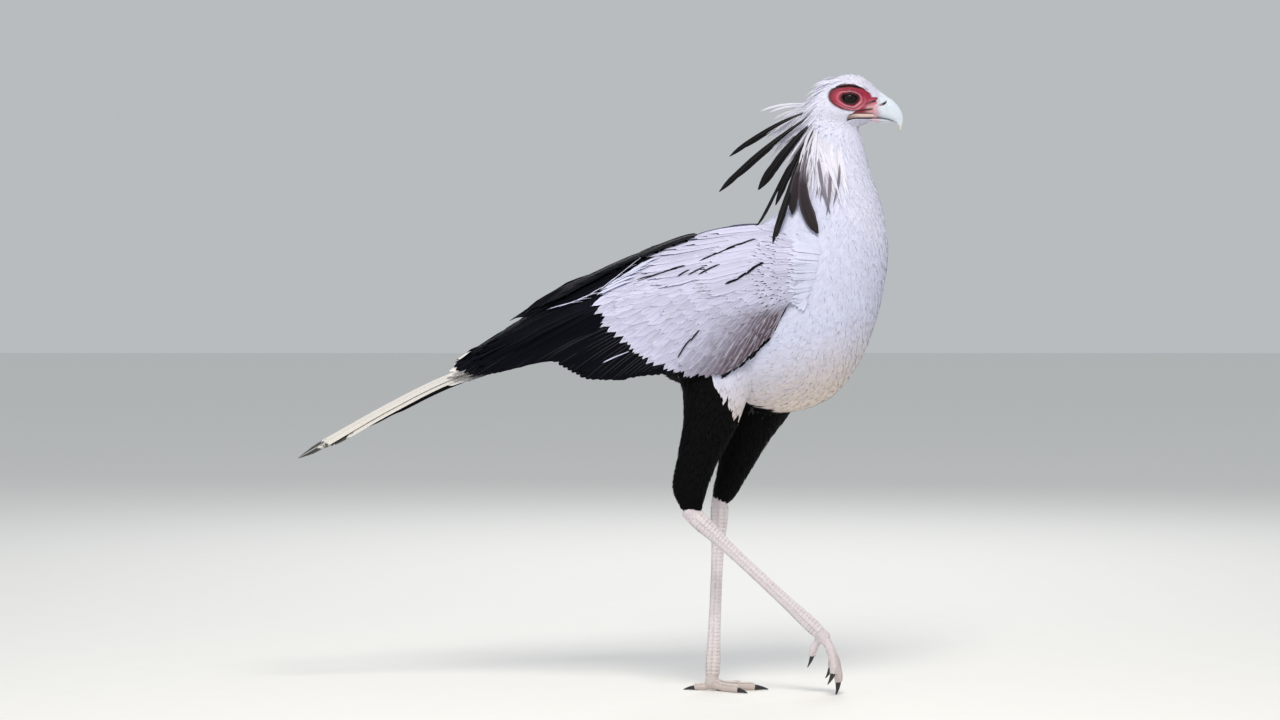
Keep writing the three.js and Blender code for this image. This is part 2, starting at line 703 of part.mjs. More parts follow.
// How wide the trunk or the wing over it is at a place in the side view, or 0 beyond them.
function flank(x, z) {
  const COVERTS = 8; // how far they stand over the wing's skin
  const s = wingAt(x);
  const onWing = x > 200 && x < 375 && z < s.top + COVERTS && z > s.bottom;
  const wingReach = onWing ? wingSkin(x, Math.min(z, s.top - 1)) + COVERTS : 0;
  return Math.max(halfWidthAt(trunkSection, x, z), wingReach);
}

// Long feathers, narrow at the root and widest near the tip, that fan from the nape. Each has its root and tip
// in the side view, with how far each end stands to the side.
const CREST = [
  { root: [361, 1048, 4], tip: [232, 965, 10], half: 8 },
  { root: [363, 1042, 9], tip: [214, 904, 24], half: 9 },
  { root: [365, 1037, 5], tip: [258, 886, 8], half: 8.5 },
  { root: [367, 1031, 13], tip: [284, 904, 34], half: 9 },
  { root: [369, 1025, 8], tip: [300, 862, 18], half: 8 },
  { root: [371, 1018, 17], tip: [320, 880, 48], half: 8.5 },
  { root: [374, 1010, 21], tip: [346, 850, 70], half: 8.5 },
  { root: [378, 1000, 26], tip: [389, 826, 88], half: 8.5 },
  { root: [383, 988, 31], tip: [412, 850, 90], half: 7.5 },
];
const SPATULATE = numbersCurve([0.3, 0.26, 0.32, 0.55, 0.9, 1, 0.75, 0.2]);
const CREST_STOPS = [0, 0.42, 0.74, 1];
const CREST_CLEARANCE = 4;
const CREST_SPREAD = { [-1]: 3, 1: 9 }; // how far the tips on each side stray from the table's
const CREST_ROLL = 14; // degrees

function crestVane(side, { root, tip, half }) {
  const [x0, z0, y0] = root;
  const [x1, z1, y1] = tip;
  const start = v3(x0 + 7, 0, z0 - 3); // sunk in the nape
  const end = v3(x1 + jitter(CREST_SPREAD[side]), 0, z1 + jitter(CREST_SPREAD[side]));
  const bend = v3(lerp(x0, end.x, 0.62), 0, lerp(z0, end.z, 0.36));
  const line = new THREE.QuadraticBezierCurve3(start, bend, end);
  const roll = rad(jitter(CREST_ROLL));
  return vane((t, u, under) => {
    const p = line.getPoint(t);
    const tangent = line.getTangent(t);
    const across = v3(-tangent.z, 0, tangent.x).multiplyScalar(Math.cos(roll));
    across.y = Math.sin(roll);
    const point = p.addScaledVector(across, u * half * SPATULATE(t));
    const reach = lerp(y0, y1, t ** 0.8) + side * across.y * u * half * SPATULATE(t);
    const clear = t < 0.15 ? reach : Math.max(reach, flank(point.x, point.z) + CREST_CLEARANCE);
    point.y = side * (clear - under * VANE_THICKNESS);
    return point;
  }, CREST_STOPS);
}

const crest = () => fuse([-1, 1].flatMap((side) => CREST.map((one) => crestVane(side, one))));

// Building

const group = new THREE.Group();

function addPiece(name, solid, colour, roughness) {
  const material = new THREE.MeshStandardMaterial({ color: colour, roughness, metalness: 0 });
  const mesh = new THREE.Mesh(toGeometry(largest(solid)), material);
  mesh.name = name;
  group.add(mesh);
}

const WHITE = 0xdcdce8;
const SILVER = 0xb9b7c8;
const BLACK = 0x15151c;
const FACE = 0xb8405a;
const HORN = 0xaab4c0;
const SHANK = 0xcdb8bc;
const CLAW = 0x3a3436;
const IRIS = 0x3a1a10;

const NAPE_CUT = { at: v3(423, 0, 1033), way: v3(0.66, 0, 0.75) };
const NECK_CUT = { at: v3(427, 0, 881), way: v3(0.25, 0, 0.97) };
const BREAST_CUT = { at: v3(407, 0, 749), way: v3(0.82, 0, 0.57) };

const bodyWhole = headWhole.add(trunk);
const [headPart, belowHead] = parted(bodyWhole, NAPE_CUT.at, NAPE_CUT.way);
const [napePart, belowNape] = parted(belowHead, NECK_CUT.at, NECK_CUT.way);
const [neckPart, trunkPart] = parted(belowNape, BREAST_CUT.at, BREAST_CUT.way);
const tailRoot = v3(TAIL_ROOT_X, 0, 660);
const [torsoPart, rumpPart] = parted(trunkPart, tailRoot, ahead);

const headBare = beyond(headPart, billRoot, ahead.clone().negate());
const sockets = fuse([-1, 1].map((side) => eyeBall(side, EYE_RADIUS + GAP)));
const openings = fuse([eyeOpening(-1), eyeOpening(1), mouthLine()]);
const headCarved = headBare.add(brow(-1)).add(brow(1)).subtract(openings);
addPiece("head", fuse([headCarved, lids(-1), lids(1)]).subtract(sockets), FACE, 0.7);
const aboveNape = halfSpace(NAPE_CUT.at, NAPE_CUT.way);
const belowNeckCut = halfSpace(NECK_CUT.at, NECK_CUT.way.clone().negate());
const crestCutter = trunkCutter.add(headCutter).intersect(aboveNape.add(belowNeckCut));
addPiece("nape", napePart.add(crest().subtract(crestCutter)), WHITE, 0.8);
addPiece("neck", neckPart, WHITE, 0.8);
addPiece("torso", torsoPart, WHITE, 0.8);

const nostrils = fuse([-1, 1].map(nostrilHole));
const upperBillCutter = loft(bodySection(UPPER_BILL, GAP, UPPER_WAIST), BILL_AROUND, UPPER_ALONG);
const lowerBill = bill(LOWER_BILL, LOWER_ALONG, LOWER_WAIST).subtract(upperBillCutter);
addPiece("bill_upper", bill(UPPER_BILL, UPPER_ALONG, UPPER_WAIST).subtract(nostrils), HORN, 0.4);
addPiece("bill_lower", lowerBill, HORN, 0.4);
addPiece("eye_right", eyeBall(-1, EYE_RADIUS), IRIS, 0.1);
addPiece("eye_left", eyeBall(1, EYE_RADIUS), IRIS, 0.1);

const frontOfTail = trunkCutter.intersect(halfSpace(tailRoot, ahead));
addPiece("tail", rumpPart.add(tailFeathers().subtract(frontOfTail)), WHITE, 0.7);

function addLeg(name, thighStations, ankle, foot, toes) {
  const down = foot.clone().sub(ankle).normalize();
  const backUp = down.clone().negate();
  const ankleCut = ankle.clone().add(v3(0, 0, 10));
  const footCut = foot.clone().addScaledVector(down, -12);
  const thighOnly = beyond(thigh(thighStations), ankleCut, floorUp);
  addPiece(`thigh_${name}`, thighOnly.subtract(trunkCutter), BLACK, 0.8);

  const shank = tarsus(ankle, foot, v3(1, 0, 0.3));
  const belowAnkle = beyond(shank, ankleCut, floorUp.clone().negate());
  addPiece(`tarsus_${name}`, beyond(belowAnkle, footCut, backUp), SHANK, 0.6);

  const pad = new THREE.SphereGeometry(12.5, 8, 5);
  pad.translate(foot.x, foot.y, foot.z);
  const solids = [toSolid(pad), shank];
  for (const one of toes) {
    const way = one.end.clone().sub(one.points[3]).normalize();
    const cut = one.end.clone().addScaledVector(way, -3);
    solids.push(beyond(toe(one.points, one.thick, one.upward), cut, way.clone().negate()));
    addPiece(`claw_${name}_${one.name}`, ontoFloor(beyond(claw(one), cut, way)), CLAW, 0.4);
  }
  addPiece(`foot_${name}`, ontoFloor(beyond(fuse(solids), footCut, down)), SHANK, 0.6);
}

const rightFoot = rightFootJoint();
addLeg("right", RIGHT_THIGH, RIGHT_ANKLE, rightFoot, hangingToes(rightFoot));
addLeg("left", LEFT_THIGH, LEFT_ANKLE, LEFT_FOOT, plantedToes(LEFT_FOOT));

const tailCutter = tailFeathers(GAP);
const clearOfBody = (solid, thighStations) =>
  solid.subtract(trunkCutter).subtract(thigh(thighStations, GAP)).subtract(tailCutter);
addPiece("wing_right", clearOfBody(wing(-1), RIGHT_THIGH), SILVER, 0.7);
addPiece("wing_left", clearOfBody(wing(1), LEFT_THIGH), SILVER, 0.7);

const whole = new THREE.Box3().setFromObject(group);
group.position.set(-(whole.min.x + whole.max.x) / 2, -(whole.min.y + whole.max.y) / 2, -whole.min.z);

export default group;
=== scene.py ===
"""A life-size secretary bird in mid-stride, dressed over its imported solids.

Shapes are worked out in millimetres in the solids' own frame: +X the way the bird walks, +Z up, its right side
towards -Y. Mesh data is written in metres.
"""
from __future__ import annotations

import logging
import math
from dataclasses import dataclass, field, replace
from enum import Enum
from itertools import product
from typing import Any, Callable, Sequence

import bmesh
import bpy
import numpy as np
from mathutils import Matrix, Vector
from mathutils.bvhtree import BVHTree
from mathutils.kdtree import KDTree

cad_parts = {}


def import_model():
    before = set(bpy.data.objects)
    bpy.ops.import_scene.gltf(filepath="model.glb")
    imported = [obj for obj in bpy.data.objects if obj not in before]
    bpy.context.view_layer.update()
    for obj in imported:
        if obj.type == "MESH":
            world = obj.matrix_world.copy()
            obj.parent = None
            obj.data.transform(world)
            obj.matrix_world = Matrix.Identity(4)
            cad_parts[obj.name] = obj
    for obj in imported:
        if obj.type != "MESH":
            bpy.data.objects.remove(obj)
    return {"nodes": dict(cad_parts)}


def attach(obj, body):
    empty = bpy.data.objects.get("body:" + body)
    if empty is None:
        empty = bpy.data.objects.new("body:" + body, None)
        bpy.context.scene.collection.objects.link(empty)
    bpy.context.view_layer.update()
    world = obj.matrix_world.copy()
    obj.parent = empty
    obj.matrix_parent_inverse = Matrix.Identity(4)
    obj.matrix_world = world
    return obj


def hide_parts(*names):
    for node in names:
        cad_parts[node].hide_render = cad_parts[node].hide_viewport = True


log = logging.getLogger("secretary_bird")

MM = 0.001
SEED = 4127
BARREN = 1e6  # the spacing given where nothing grows, in millimetres
SHOWS = 7.0  # how near the finished skin a body's form has to lie to show on it, in millimetres
SOLE = 0.05  # the lowest that a foot reaches, in millimetres
Array = np.ndarray


def catmull(points: Sequence[Any], t: Array) -> Array:
    """Follow a smooth curve through points that are evenly spaced in its parameter.

    Args:
        points: Rows of coordinates, at least two.
        t: Places along it, from 0 to 1.

    Returns:
        One row of coordinates for each place.
    """
    table = np.asarray(points, float)
    if table.ndim == 1:
        table = table[:, None]
    ends = np.vstack([2 * table[0] - table[1], table, 2 * table[-1] - table[-2]])
    span = np.clip(np.asarray(t, float), 0, 1) * (len(table) - 1)
    i = np.minimum(span.astype(int), len(table) - 2)
    w = (span - i)[..., None]
    p0, p1, p2, p3 = ends[i], ends[i + 1], ends[i + 2], ends[i + 3]
    start, end = (p2 - p0) / 2, (p3 - p1) / 2
    cubic = (2 * w**3 - 3 * w**2 + 1) * p1 + (w**3 - 2 * w**2 + w) * start
    return cubic + (3 * w**2 - 2 * w**3) * p2 + (w**3 - w**2) * end


def unit(vectors: Array) -> Array:
    """Scale each row to length 1."""
    return vectors / np.maximum(np.linalg.norm(vectors, axis=-1, keepdims=True), 1e-9)


def smoothstep(low: float, high: float, x: Array) -> Array:
    """Rise from 0 at low to 1 at high with soft ends."""
    s = np.clip((np.asarray(x, float) - low) / (high - low), 0, 1)
    return s * s * (3 - 2 * s)


def circle(count: int) -> Array:
    """Angles spaced evenly round a circle."""
    return np.arange(count) * 2 * math.pi / count


def ball_grid(along: int, around: int, gap: float) -> tuple[Array, Array]:
    """Tilts and turns that cover a ball, but for a small gap at each pole."""
    tilt, turn = np.meshgrid(np.linspace(gap, math.pi - gap, along), circle(around), indexing="ij")
    return tilt, turn


def bell(distance: Array, width: float) -> Array:
    """A soft hump that is 1 at no distance and falls away over width."""
    return np.exp(-((distance / width) ** 2))


@dataclass(frozen=True)
class Station:
    """One ring of a body: its back and belly in the side view and its half width, in millimetres."""

    back: tuple[float, float]
    belly: tuple[float, float]
    half: float
    y: float = 0.0


TRUNK = [
    Station((392, 1069), (464, 1015), 20),
    Station((371, 1036), (474, 985), 37),
    Station((368, 1003), (488, 931), 47),
    Station((367, 974), (510, 859), 58),
    Station((363, 938), (517, 769), 74),
    Station((349, 900), (486, 634), 92),
    Station((326, 873), (423, 535), 100),
    Station((292, 846), (333, 502), 102),
    Station((230, 824), (243, 522), 98),
    Station((162, 796), (162, 547), 87),
    Station((92, 756), (98, 582), 64),
    Station((34, 712), (40, 622), 38),
    Station((0, 676), (6, 650), 16),
]
HEAD = [
    Station((367, 1046), (371, 1030), 8),
    Station((381, 1070), (388, 1008), 26),
    Station((399, 1090), (409, 1001), 33),
    Station((421, 1105), (427, 1004), 35.5),
    Station((443, 1112), (447, 1011), 35),
    Station((465, 1110), (466, 1018), 31.5),
    Station((484, 1099), (483, 1024), 23.5),
    Station((499, 1084), (498, 1028.5), 16.4),
    Station((513, 1069), (509, 1034), 11),
]
UPPER_BILL = [
    Station((488, 1093.5), (490, 1033), 20),
    Station((500, 1083.5), (500, 1032.6), 16.6),
    Station((514, 1072), (509, 1031.6), 12.8),
    Station((526, 1064), (519, 1029.6), 10),
    Station((537, 1052), (527, 1026.8), 7.5),
    Station((543.5, 1038), (533, 1022.8), 5),
    Station((544, 1024), (537, 1018), 3.2),
    Station((540, 1011), (538.5, 1010), 0.9),
]
LOWER_BILL = [
    Station((486, 1032.6), (486, 1024.4), 16),
    Station((498, 1032.2), (498, 1023.6), 14),
    Station((509, 1031), (507, 1023.2), 10.5),
    Station((519, 1029), (516, 1023.8), 7),
    Station((526.5, 1026.4), (526, 1025.6), 1.5),
]
RIGHT_THIGH = [
    Station((160, 640), (300, 660), 26, -50),
    Station((137, 590), (296, 600), 45, -52),
    Station((146, 545), (268, 530), 44, -54),
    Station((147, 490), (243, 472), 35, -54),
    Station((137, 428), (212, 414), 27, -52),
    Station((128, 374), (193, 362), 20, -51),
    Station((143, 332), (185, 330), 13, -50),
]
LEFT_THIGH = [
    Station((180, 640), (340, 640), 26, 48),
    Station((180, 590), (362, 590), 44, 50),
    Station((200, 520), (356, 516), 44, 50),
    Station((216, 462), (312, 455), 34, 47),
    Station((210, 400), (276, 398), 26, 43),
    Station((202, 358), (250, 354), 19, 40),
    Station((203, 338), (234, 336), 13, 38),
]
EYE = np.array([447.0, 23.5, 1068.0])
EYE_RADIUS = 14.5
UPPER_WAIST = 0.72
LOWER_WAIST = 0.25


@dataclass(frozen=True)
class Loft:
    """A closed body on ring stations, symmetric from side to side."""

    stations: list[Station]
    waist: float = 0.5

    def rings(self, t: Array, skin: Array | float) -> tuple[Array, Array, Array, Array]:
        """Work out rings at places along the body.

        Args:
            t: Places from 0 to 1.
            skin: Thickness added all round, for each place or for all.

        Returns:
            Each ring's centre and its reach up, down and to the left.
        """
        back = catmull([(s.back[0], s.y, s.back[1]) for s in self.stations], t)
        belly = catmull([(s.belly[0], s.y, s.belly[1]) for s in self.stations], t)
        half = catmull([s.half for s in self.stations], t)[..., 0]
        grown = np.broadcast_to(np.asarray(skin, float), np.shape(half))[..., None]
        centre = back + (belly - back) * self.waist
        up, down = back - centre, belly - centre
        up = up + unit(up) * grown
        down = down + unit(down) * grown
        side = np.zeros_like(up)
        side[..., 1] = np.maximum(half + grown[..., 0], 0.3)
        return centre, up, down, side

    def points(self, t: Array, turn: Array, skin: Array | float = 0.0) -> Array:
        """Find points on the body, with turn measured from the back towards the left side."""
        centre, up, down, side = self.rings(t, skin)
        upward = np.cos(turn)[..., None]
        reach = np.where(upward >= 0, up, down) * np.abs(upward)
        return centre + side * np.sin(turn)[..., None] + reach

    def grid(self, along: int, around: int, skin: Callable[[Array], Array] | float = 0.0) -> Array:
        """Lay a grid of points over the body, ring by ring."""
        t, turn = np.meshgrid(np.linspace(0, 1, along), circle(around), indexing="ij")
        return self.points(t, turn, skin(t) if callable(skin) else skin)


def linked(name: str, data: Any) -> bpy.types.Object:
    """Make an object of some data and put it in the scene."""
    made = bpy.data.objects.new(name, data)
    bpy.context.scene.collection.objects.link(made)
    return made


def new_object(name: str, points: Array, faces: Sequence[Sequence[int]]) -> bpy.types.Object:
    """Make a smooth-shaded mesh object at the origin from millimetre points.

    Args:
        name: The piece's name.
        points: Rows of x, y and z.
        faces: Corner indices of each face.

    Returns:
        The object, linked to the scene.
    """
    mesh = bpy.data.meshes.new(name)
    mesh.from_pydata((np.asarray(points) * MM).tolist(), [], [list(f) for f in faces])
    mesh.polygons.foreach_set("use_smooth", np.ones(len(mesh.polygons), bool))
    mesh.update()
    return linked(name, mesh)


def ring_faces(along: int, around: int) -> list[tuple[int, ...]]:
    """Close a ring grid into a tube with a flat face at each end, facing outwards."""
    faces: list[tuple[int, ...]] = []
    for i in range(along - 1):
        for j in range(around):
            k = (j + 1) % around
            faces.append((i * around + j, i * around + k, (i + 1) * around + k, (i + 1) * around + j))
    faces.append(tuple(range(around))[::-1])
    faces.append(tuple((along - 1) * around + j for j in range(around)))
    return faces


def loft_object(name: str, rings: Array) -> bpy.types.Object:
    """Make a closed object from a grid of ring points, with its faces turned outwards."""
    along, around, _ = rings.shape
    made = new_object(name, rings.reshape(-1, 3), ring_faces(along, around))
    face_outwards(made)
    return made


def face_outwards(piece: bpy.types.Object) -> None:
    """Recalculate a closed mesh's normals so that they point out."""
    work = bmesh.new()
    work.from_mesh(piece.data)
    bmesh.ops.recalc_face_normals(work, faces=work.faces)
    work.to_mesh(piece.data)
    work.free()


def baked(piece: bpy.types.Object) -> bpy.types.Object:
    """Turn a piece's modifiers into plain mesh data."""
    graph = bpy.context.evaluated_depsgraph_get()
    mesh = bpy.data.meshes.new_from_object(piece.evaluated_get(graph))
    piece.modifiers.clear()
    piece.data = mesh
    return piece


def joined(name: str, pieces: Sequence[bpy.types.Object]) -> bpy.types.Object:
    """Gather several mesh objects into one and drop the originals."""
    work = bmesh.new()
    for piece in pieces:
        work.from_mesh(piece.data)
    mesh = bpy.data.meshes.new(name)
    work.to_mesh(mesh)
    work.free()
    for piece in pieces:
        bpy.data.objects.remove(piece)
    return linked(name, mesh)


def fused(name: str, pieces: Sequence[bpy.types.Object], voxel: float, rounds: int) -> bpy.types.Object:
    """Melt overlapping closed meshes into one even skin.

    Args:
        name: The skin's name.
        pieces: Closed meshes, which are used up.
        voxel: Size of its faces, in millimetres.
        rounds: How often it is smoothed.

    Returns:
        The skin.
    """
    made = joined(name, pieces)
    remesh = made.modifiers.new("melt", "REMESH")
    remesh.mode = "VOXEL"
    remesh.voxel_size = voxel * MM
    remesh.use_smooth_shade = True
    if rounds:
        soften = made.modifiers.new("soften", "SMOOTH")
        soften.factor = 0.5
        soften.iterations = rounds
    return baked(made)


def mesh_points(piece: bpy.types.Object) -> Array:
    """Read a mesh's points in millimetres."""
    flat = np.empty(len(piece.data.vertices) * 3)
    piece.data.vertices.foreach_get("co", flat)
    return flat.reshape(-1, 3) / MM


def move_points(piece: bpy.types.Object, points: Array) -> None:
    """Write a mesh's points back from millimetres."""
    piece.data.vertices.foreach_set("co", (points * MM).ravel())
    piece.data.update()


def add_attribute(piece: bpy.types.Object, name: str, values: Array) -> None:
    """Store a number or a vector on every point."""
    kind, key = ("FLOAT", "value") if values.ndim == 1 else ("FLOAT_VECTOR", "vector")
    layer = piece.data.attributes.new(name, kind, "POINT")
    layer.data.foreach_set(key, np.ascontiguousarray(values, np.float32).ravel())


def add_bake_map(piece: bpy.types.Object, places: Array) -> None:
    """Store the bake map, OFBake, from one place for each point."""
    layer = piece.data.uv_layers.new(name="OFBake")
    corners = np.empty(len(piece.data.loops), np.int32)
    piece.data.loops.foreach_get("vertex_index", corners)
    layer.data.foreach_set("uv", np.clip(places[corners], 0, 1).astype(np.float32).ravel())


def add_node(
    tree: bpy.types.NodeTree, kind: str, sockets: dict[Any, Any] | None = None, out: int | str | None = 0,
    stops: Sequence[tuple[float, str]] = (), **settings: Any,
) -> Any:
    """Add a node with its settings and its inputs.

    Args:
        tree: The tree it goes into.
        kind: The node's type name.
        sockets: Inputs by name or number, each a value or another node's output.
        out: The output that is wanted, by name or number, or None for the node itself.
        stops: A colour ramp's stops, each a position and an sRGB hex value.
        settings: The node's own properties.

    Returns:
        The output, or the node.
    """
    node = tree.nodes.new(kind)
    for key, value in settings.items():
        setattr(node, key, value)
    for key, value in (sockets or {}).items():
        if isinstance(value, bpy.types.NodeSocket):
            tree.links.new(value, node.inputs[key])
        else:
            node.inputs[key].default_value = value
    while stops and len(node.color_ramp.elements) < len(stops):
        node.color_ramp.elements.new(0.5)
    for number, (position, tone) in enumerate(stops):
        node.color_ramp.elements[number].position = position
        node.color_ramp.elements[number].color = colour(tone)
    return node if out is None else node.outputs[out]


def colour(hex_value: str) -> tuple[float, float, float, float]:
    """Turn an sRGB hex value into linear colour."""
    parts = [int(hex_value[i : i + 2], 16) / 255 for i in (1, 3, 5)]
    linear = [p / 12.92 if p <= 0.04045 else ((p + 0.055) / 1.055) ** 2.4 for p in parts]
    return (linear[0], linear[1], linear[2], 1.0)


def new_material(name: str) -> tuple[bpy.types.Material, bpy.types.NodeTree]:
    """Start an empty node material."""
    material = bpy.data.materials.new(name)
    material.use_nodes = True
    material.node_tree.nodes.clear()
    return material, material.node_tree


def per_mm(size: float) -> float:
    """Turn a pattern's real size in millimetres into a scale on metre coordinates."""
    return 1.0 / (size * MM)


@dataclass(frozen=True)
class FeatherFinish:
    """Keratin feathers: matt webs of fine barbs on either side of a paler, smoother shaft."""

    name: str
    root: str
    web: str
    tip: str
    fringe: str
    roughness: float = 0.78
    sheen: float = 0.25
    barb: float = 1.6  # real barbs are about 0.4 mm apart, drawn coarser so that they show
    relief: float = 0.35
    gloss: str = "#FFFFFF"
    specular: float = 0.35
    spread: float = 0.10  # how much one feather differs from the next
    shade: str | None = None  # painted shade: a second web colour that comes in over a part of the bird
    shade_from: tuple[float, float, float] = (0.0, 0.0, 0.0)  # x, z and width of the change, in metres
    shade_lean: float = 0.35  # how steeply the line between the two colours climbs forwards
    shade_top: float = 9.0  # the height at which the second colour fades out, in metres
    streak: float = 0.0  # how much of the root's colour runs along the shaft
    fringed: float = 0.55  # how much of the fringe's colour shows at the edges
    bands: tuple[tuple[float, str], ...] = ()
    mottle: float = 14.0  # size of the uneven patches, in millimetres

    def make(self) -> bpy.types.Material:
        """Build the material: barbs and mottling in the web, painted shade over a part of the bird where one is
        given, a streak along the shaft and a fringe at the edges.
        """
        material, tree = new_material(self.name)
        place, span = (
            add_node(tree, "ShaderNodeAttribute", out="Vector", attribute_name=name) for name in ("Place", "Span")
        )
        along, across, chance = add_node(tree, "ShaderNodeSeparateXYZ", {0: place}, None).outputs
        reach = add_node(tree, "ShaderNodeSeparateXYZ", {0: span}, None).outputs
        here = add_node(tree, "ShaderNodeTexCoord", out="Object")
        noise = {"Vector": here, "Scale": per_mm(self.mottle), "Detail": 5.0, "Roughness": 0.6}
        mottle = add_node(tree, "ShaderNodeTexNoise", noise, "Fac")
        wobble = add_node(tree, "ShaderNodeMath", {0: mottle, 1: -0.5}, operation="ADD")
        shifted = add_node(tree, "ShaderNodeMath", {0: wobble, 1: 0.16, 2: along}, operation="MULTIPLY_ADD")
        stops = self.bands or ((0.0, self.root), (0.32, self.web), (0.8, self.web), (1.0, self.tip))
        web = add_node(tree, "ShaderNodeValToRGB", {0: shifted}, stops=stops)
        # painted shade over a part of the bird
        if self.shade:
            web = self.over_part(tree, here, mottle, web)
        edge, ridge = (
            add_node(tree, "ShaderNodeMath", {0: value, 1: 0.0}, operation="ABSOLUTE") for value in (across, reach[1])
        )
        shaft = (0.0, 0.3, self.streak, 0.0, self.root)
        rim = (0.55, 1.0, 0.0, self.fringed, self.fringe)
        for near, far, start, end, tone in (shaft, rim):
            ends = {"Value": edge, "From Min": near, "From Max": far, "To Min": start, "To Max": end}
            share = add_node(tree, "ShaderNodeMapRange", ends, interpolation_type="SMOOTHSTEP")
            web = add_node(tree, "ShaderNodeMix", {0: share, 6: web, 7: colour(tone)}, 2, data_type="RGBA")
        slant = add_node(tree, "ShaderNodeMath", {0: ridge, 1: -1.15, 2: reach[0]}, operation="MULTIPLY_ADD")
        uneven = add_node(tree, "ShaderNodeMath", {0: mottle, 1: 2.2, 2: slant}, operation="MULTIPLY_ADD")
        phase = add_node(tree, "ShaderNodeMath", {0: uneven, 1: 2 * math.pi / self.barb}, operation="MULTIPLY")
        barbs = add_node(tree, "ShaderNodeMath", {0: phase}, operation="SINE")
        varied = {0: chance, 1: 2 * self.spread, 2: 1 - self.spread}
        lights = add_node(tree, "ShaderNodeMath", varied, operation="MULTIPLY_ADD")
        lined = add_node(tree, "ShaderNodeMath", {0: barbs, 1: 0.045, 2: lights}, operation="MULTIPLY_ADD")
        tinted = add_node(tree, "ShaderNodeHueSaturation", {"Color": web, "Value": lined})
        bump = add_node(tree, "ShaderNodeBump", {"Height": barbs, "Strength": self.relief, "Distance": 0.35 * MM})
        uneven_gloss = {0: mottle, 1: 0.16, 2: self.roughness - 0.08}
        rough = add_node(tree, "ShaderNodeMath", uneven_gloss, operation="MULTIPLY_ADD")
        look = {
            "Base Color": tinted, "Roughness": rough, "Normal": bump, "Sheen Weight": self.sheen,
            "Sheen Roughness": 0.45, "Specular IOR Level": self.specular, "Specular Tint": colour(self.gloss),
        }
        shader = add_node(tree, "ShaderNodeBsdfPrincipled", look)
        add_node(tree, "ShaderNodeOutputMaterial", {0: shader}, None)
        return material

    def over_part(self, tree: bpy.types.NodeTree, here: Any, mottle: Any, web: Any) -> Any:
        """Bring painted shade in, as the second web colour, below a slanting line across the bird.

        Args:
            tree: The material's tree.
            here: The output that gives places in metres.
            mottle: The output that breaks the line up.
            web: The first colour's output.

        Returns:
            The output with both colours.
        """
        x, z, width = self.shade_from
        ahead, _, up = add_node(tree, "ShaderNodeSeparateXYZ", {0: here}, None).outputs
        lean = add_node(tree, "ShaderNodeMath", {0: ahead, 1: -self.shade_lean, 2: up}, operation="MULTIPLY_ADD")
        broken = add_node(tree, "ShaderNodeMath", {0: mottle, 1: width * 0.8, 2: lean}, operation="MULTIPLY_ADD")
        level = z - self.shade_lean * x + width * 0.4
        below = (broken, level + width, level - width, 0.0, 1.0)
        fading = (up, self.shade_top - 0.035, self.shade_top, 1.0, 0.0)
        masks = []
        for value, near, far, start, end in (below, fading):
            ends = {"Value": value, "From Min": near, "From Max": far, "To Min": start, "To Max": end}
            masks.append(add_node(tree, "ShaderNodeMapRange", ends, interpolation_type="SMOOTHSTEP"))
        share = add_node(tree, "ShaderNodeMath", {0: masks[0], 1: masks[1]}, operation="MULTIPLY")
        both = {0: share, 6: web, 7: colour(self.shade or self.web)}
        return add_node(tree, "ShaderNodeMix", both, 2, data_type="RGBA")


@dataclass(frozen=True)
class SkinFinish:
    """The bird's skin: warm bare leather on the face, and plain skin in the feathers' own shade below them."""

    name: str = "bird_skin"
    bare: str = "#7F0F2B"
    flush: str = "#A92646"
    # painted shade for the face's creases, brow, mouth line and the patch's upper edge, partly also the deeper red
    # round the eye
    crease_shade: str = "#1A0309"
    # painted highlight on the tops of the folds, and the paler pink of the skin low in front of the eye
    light: str = "#EFA0B2"
    gape: str = "#E6CBC4"
    under_white: str = "#D2D2E4"
    under_black: str = "#0E0D12"
    pebble: float = 1.5
    cloud: float = 9.0

    def make(self) -> bpy.types.Material:
        """Build the material: clouded reds, with a painted highlight on the tops of folds and painted shade in them,
        over fine pebbles.
        """
        material, tree = new_material(self.name)
        here = add_node(tree, "ShaderNodeTexCoord", out="Object")
        bare, dark, fold, glow, lips = (
            add_node(tree, "ShaderNodeAttribute", out="Fac", attribute_name=name)
            for name in ("Bare", "Black", "FoldShade", "Glow", "Lips")
        )
        noise = {"Vector": here, "Scale": per_mm(self.cloud), "Detail": 4.0}
        cloud = add_node(tree, "ShaderNodeTexNoise", noise, "Fac")
        pebbles = {"Vector": here, "Scale": per_mm(self.pebble)}
        cells = add_node(tree, "ShaderNodeTexVoronoi", pebbles, "Distance", feature="F1")
        tint: Any = colour(self.bare)
        # Painted highlight goes on the fold tops and painted shade into the creases.
        for mask, tone in ((cloud, self.flush), (glow, self.light), (lips, self.gape), (fold, self.crease_shade)):
            tint = add_node(tree, "ShaderNodeMix", {0: mask, 6: tint, 7: colour(tone)}, 2, data_type="RGBA")
        under = {0: dark, 6: colour(self.under_white), 7: colour(self.under_black)}
        hidden = add_node(tree, "ShaderNodeMix", under, 2, data_type="RGBA")
        skin = add_node(tree, "ShaderNodeMix", {0: bare, 6: hidden, 7: tint}, 2, data_type="RGBA")
        height = add_node(tree, "ShaderNodeMath", {0: cells, 1: bare}, operation="MULTIPLY")
        bump = add_node(tree, "ShaderNodeBump", {"Height": height, "Strength": 0.5, "Distance": 0.5 * MM})
        look = {"Base Color": skin, "Roughness": 0.52, "Normal": bump, "Specular IOR Level": 0.4}
        shader = add_node(tree, "ShaderNodeBsdfPrincipled", look)
        add_node(tree, "ShaderNodeOutputMaterial", {0: shader}, None)
        return material


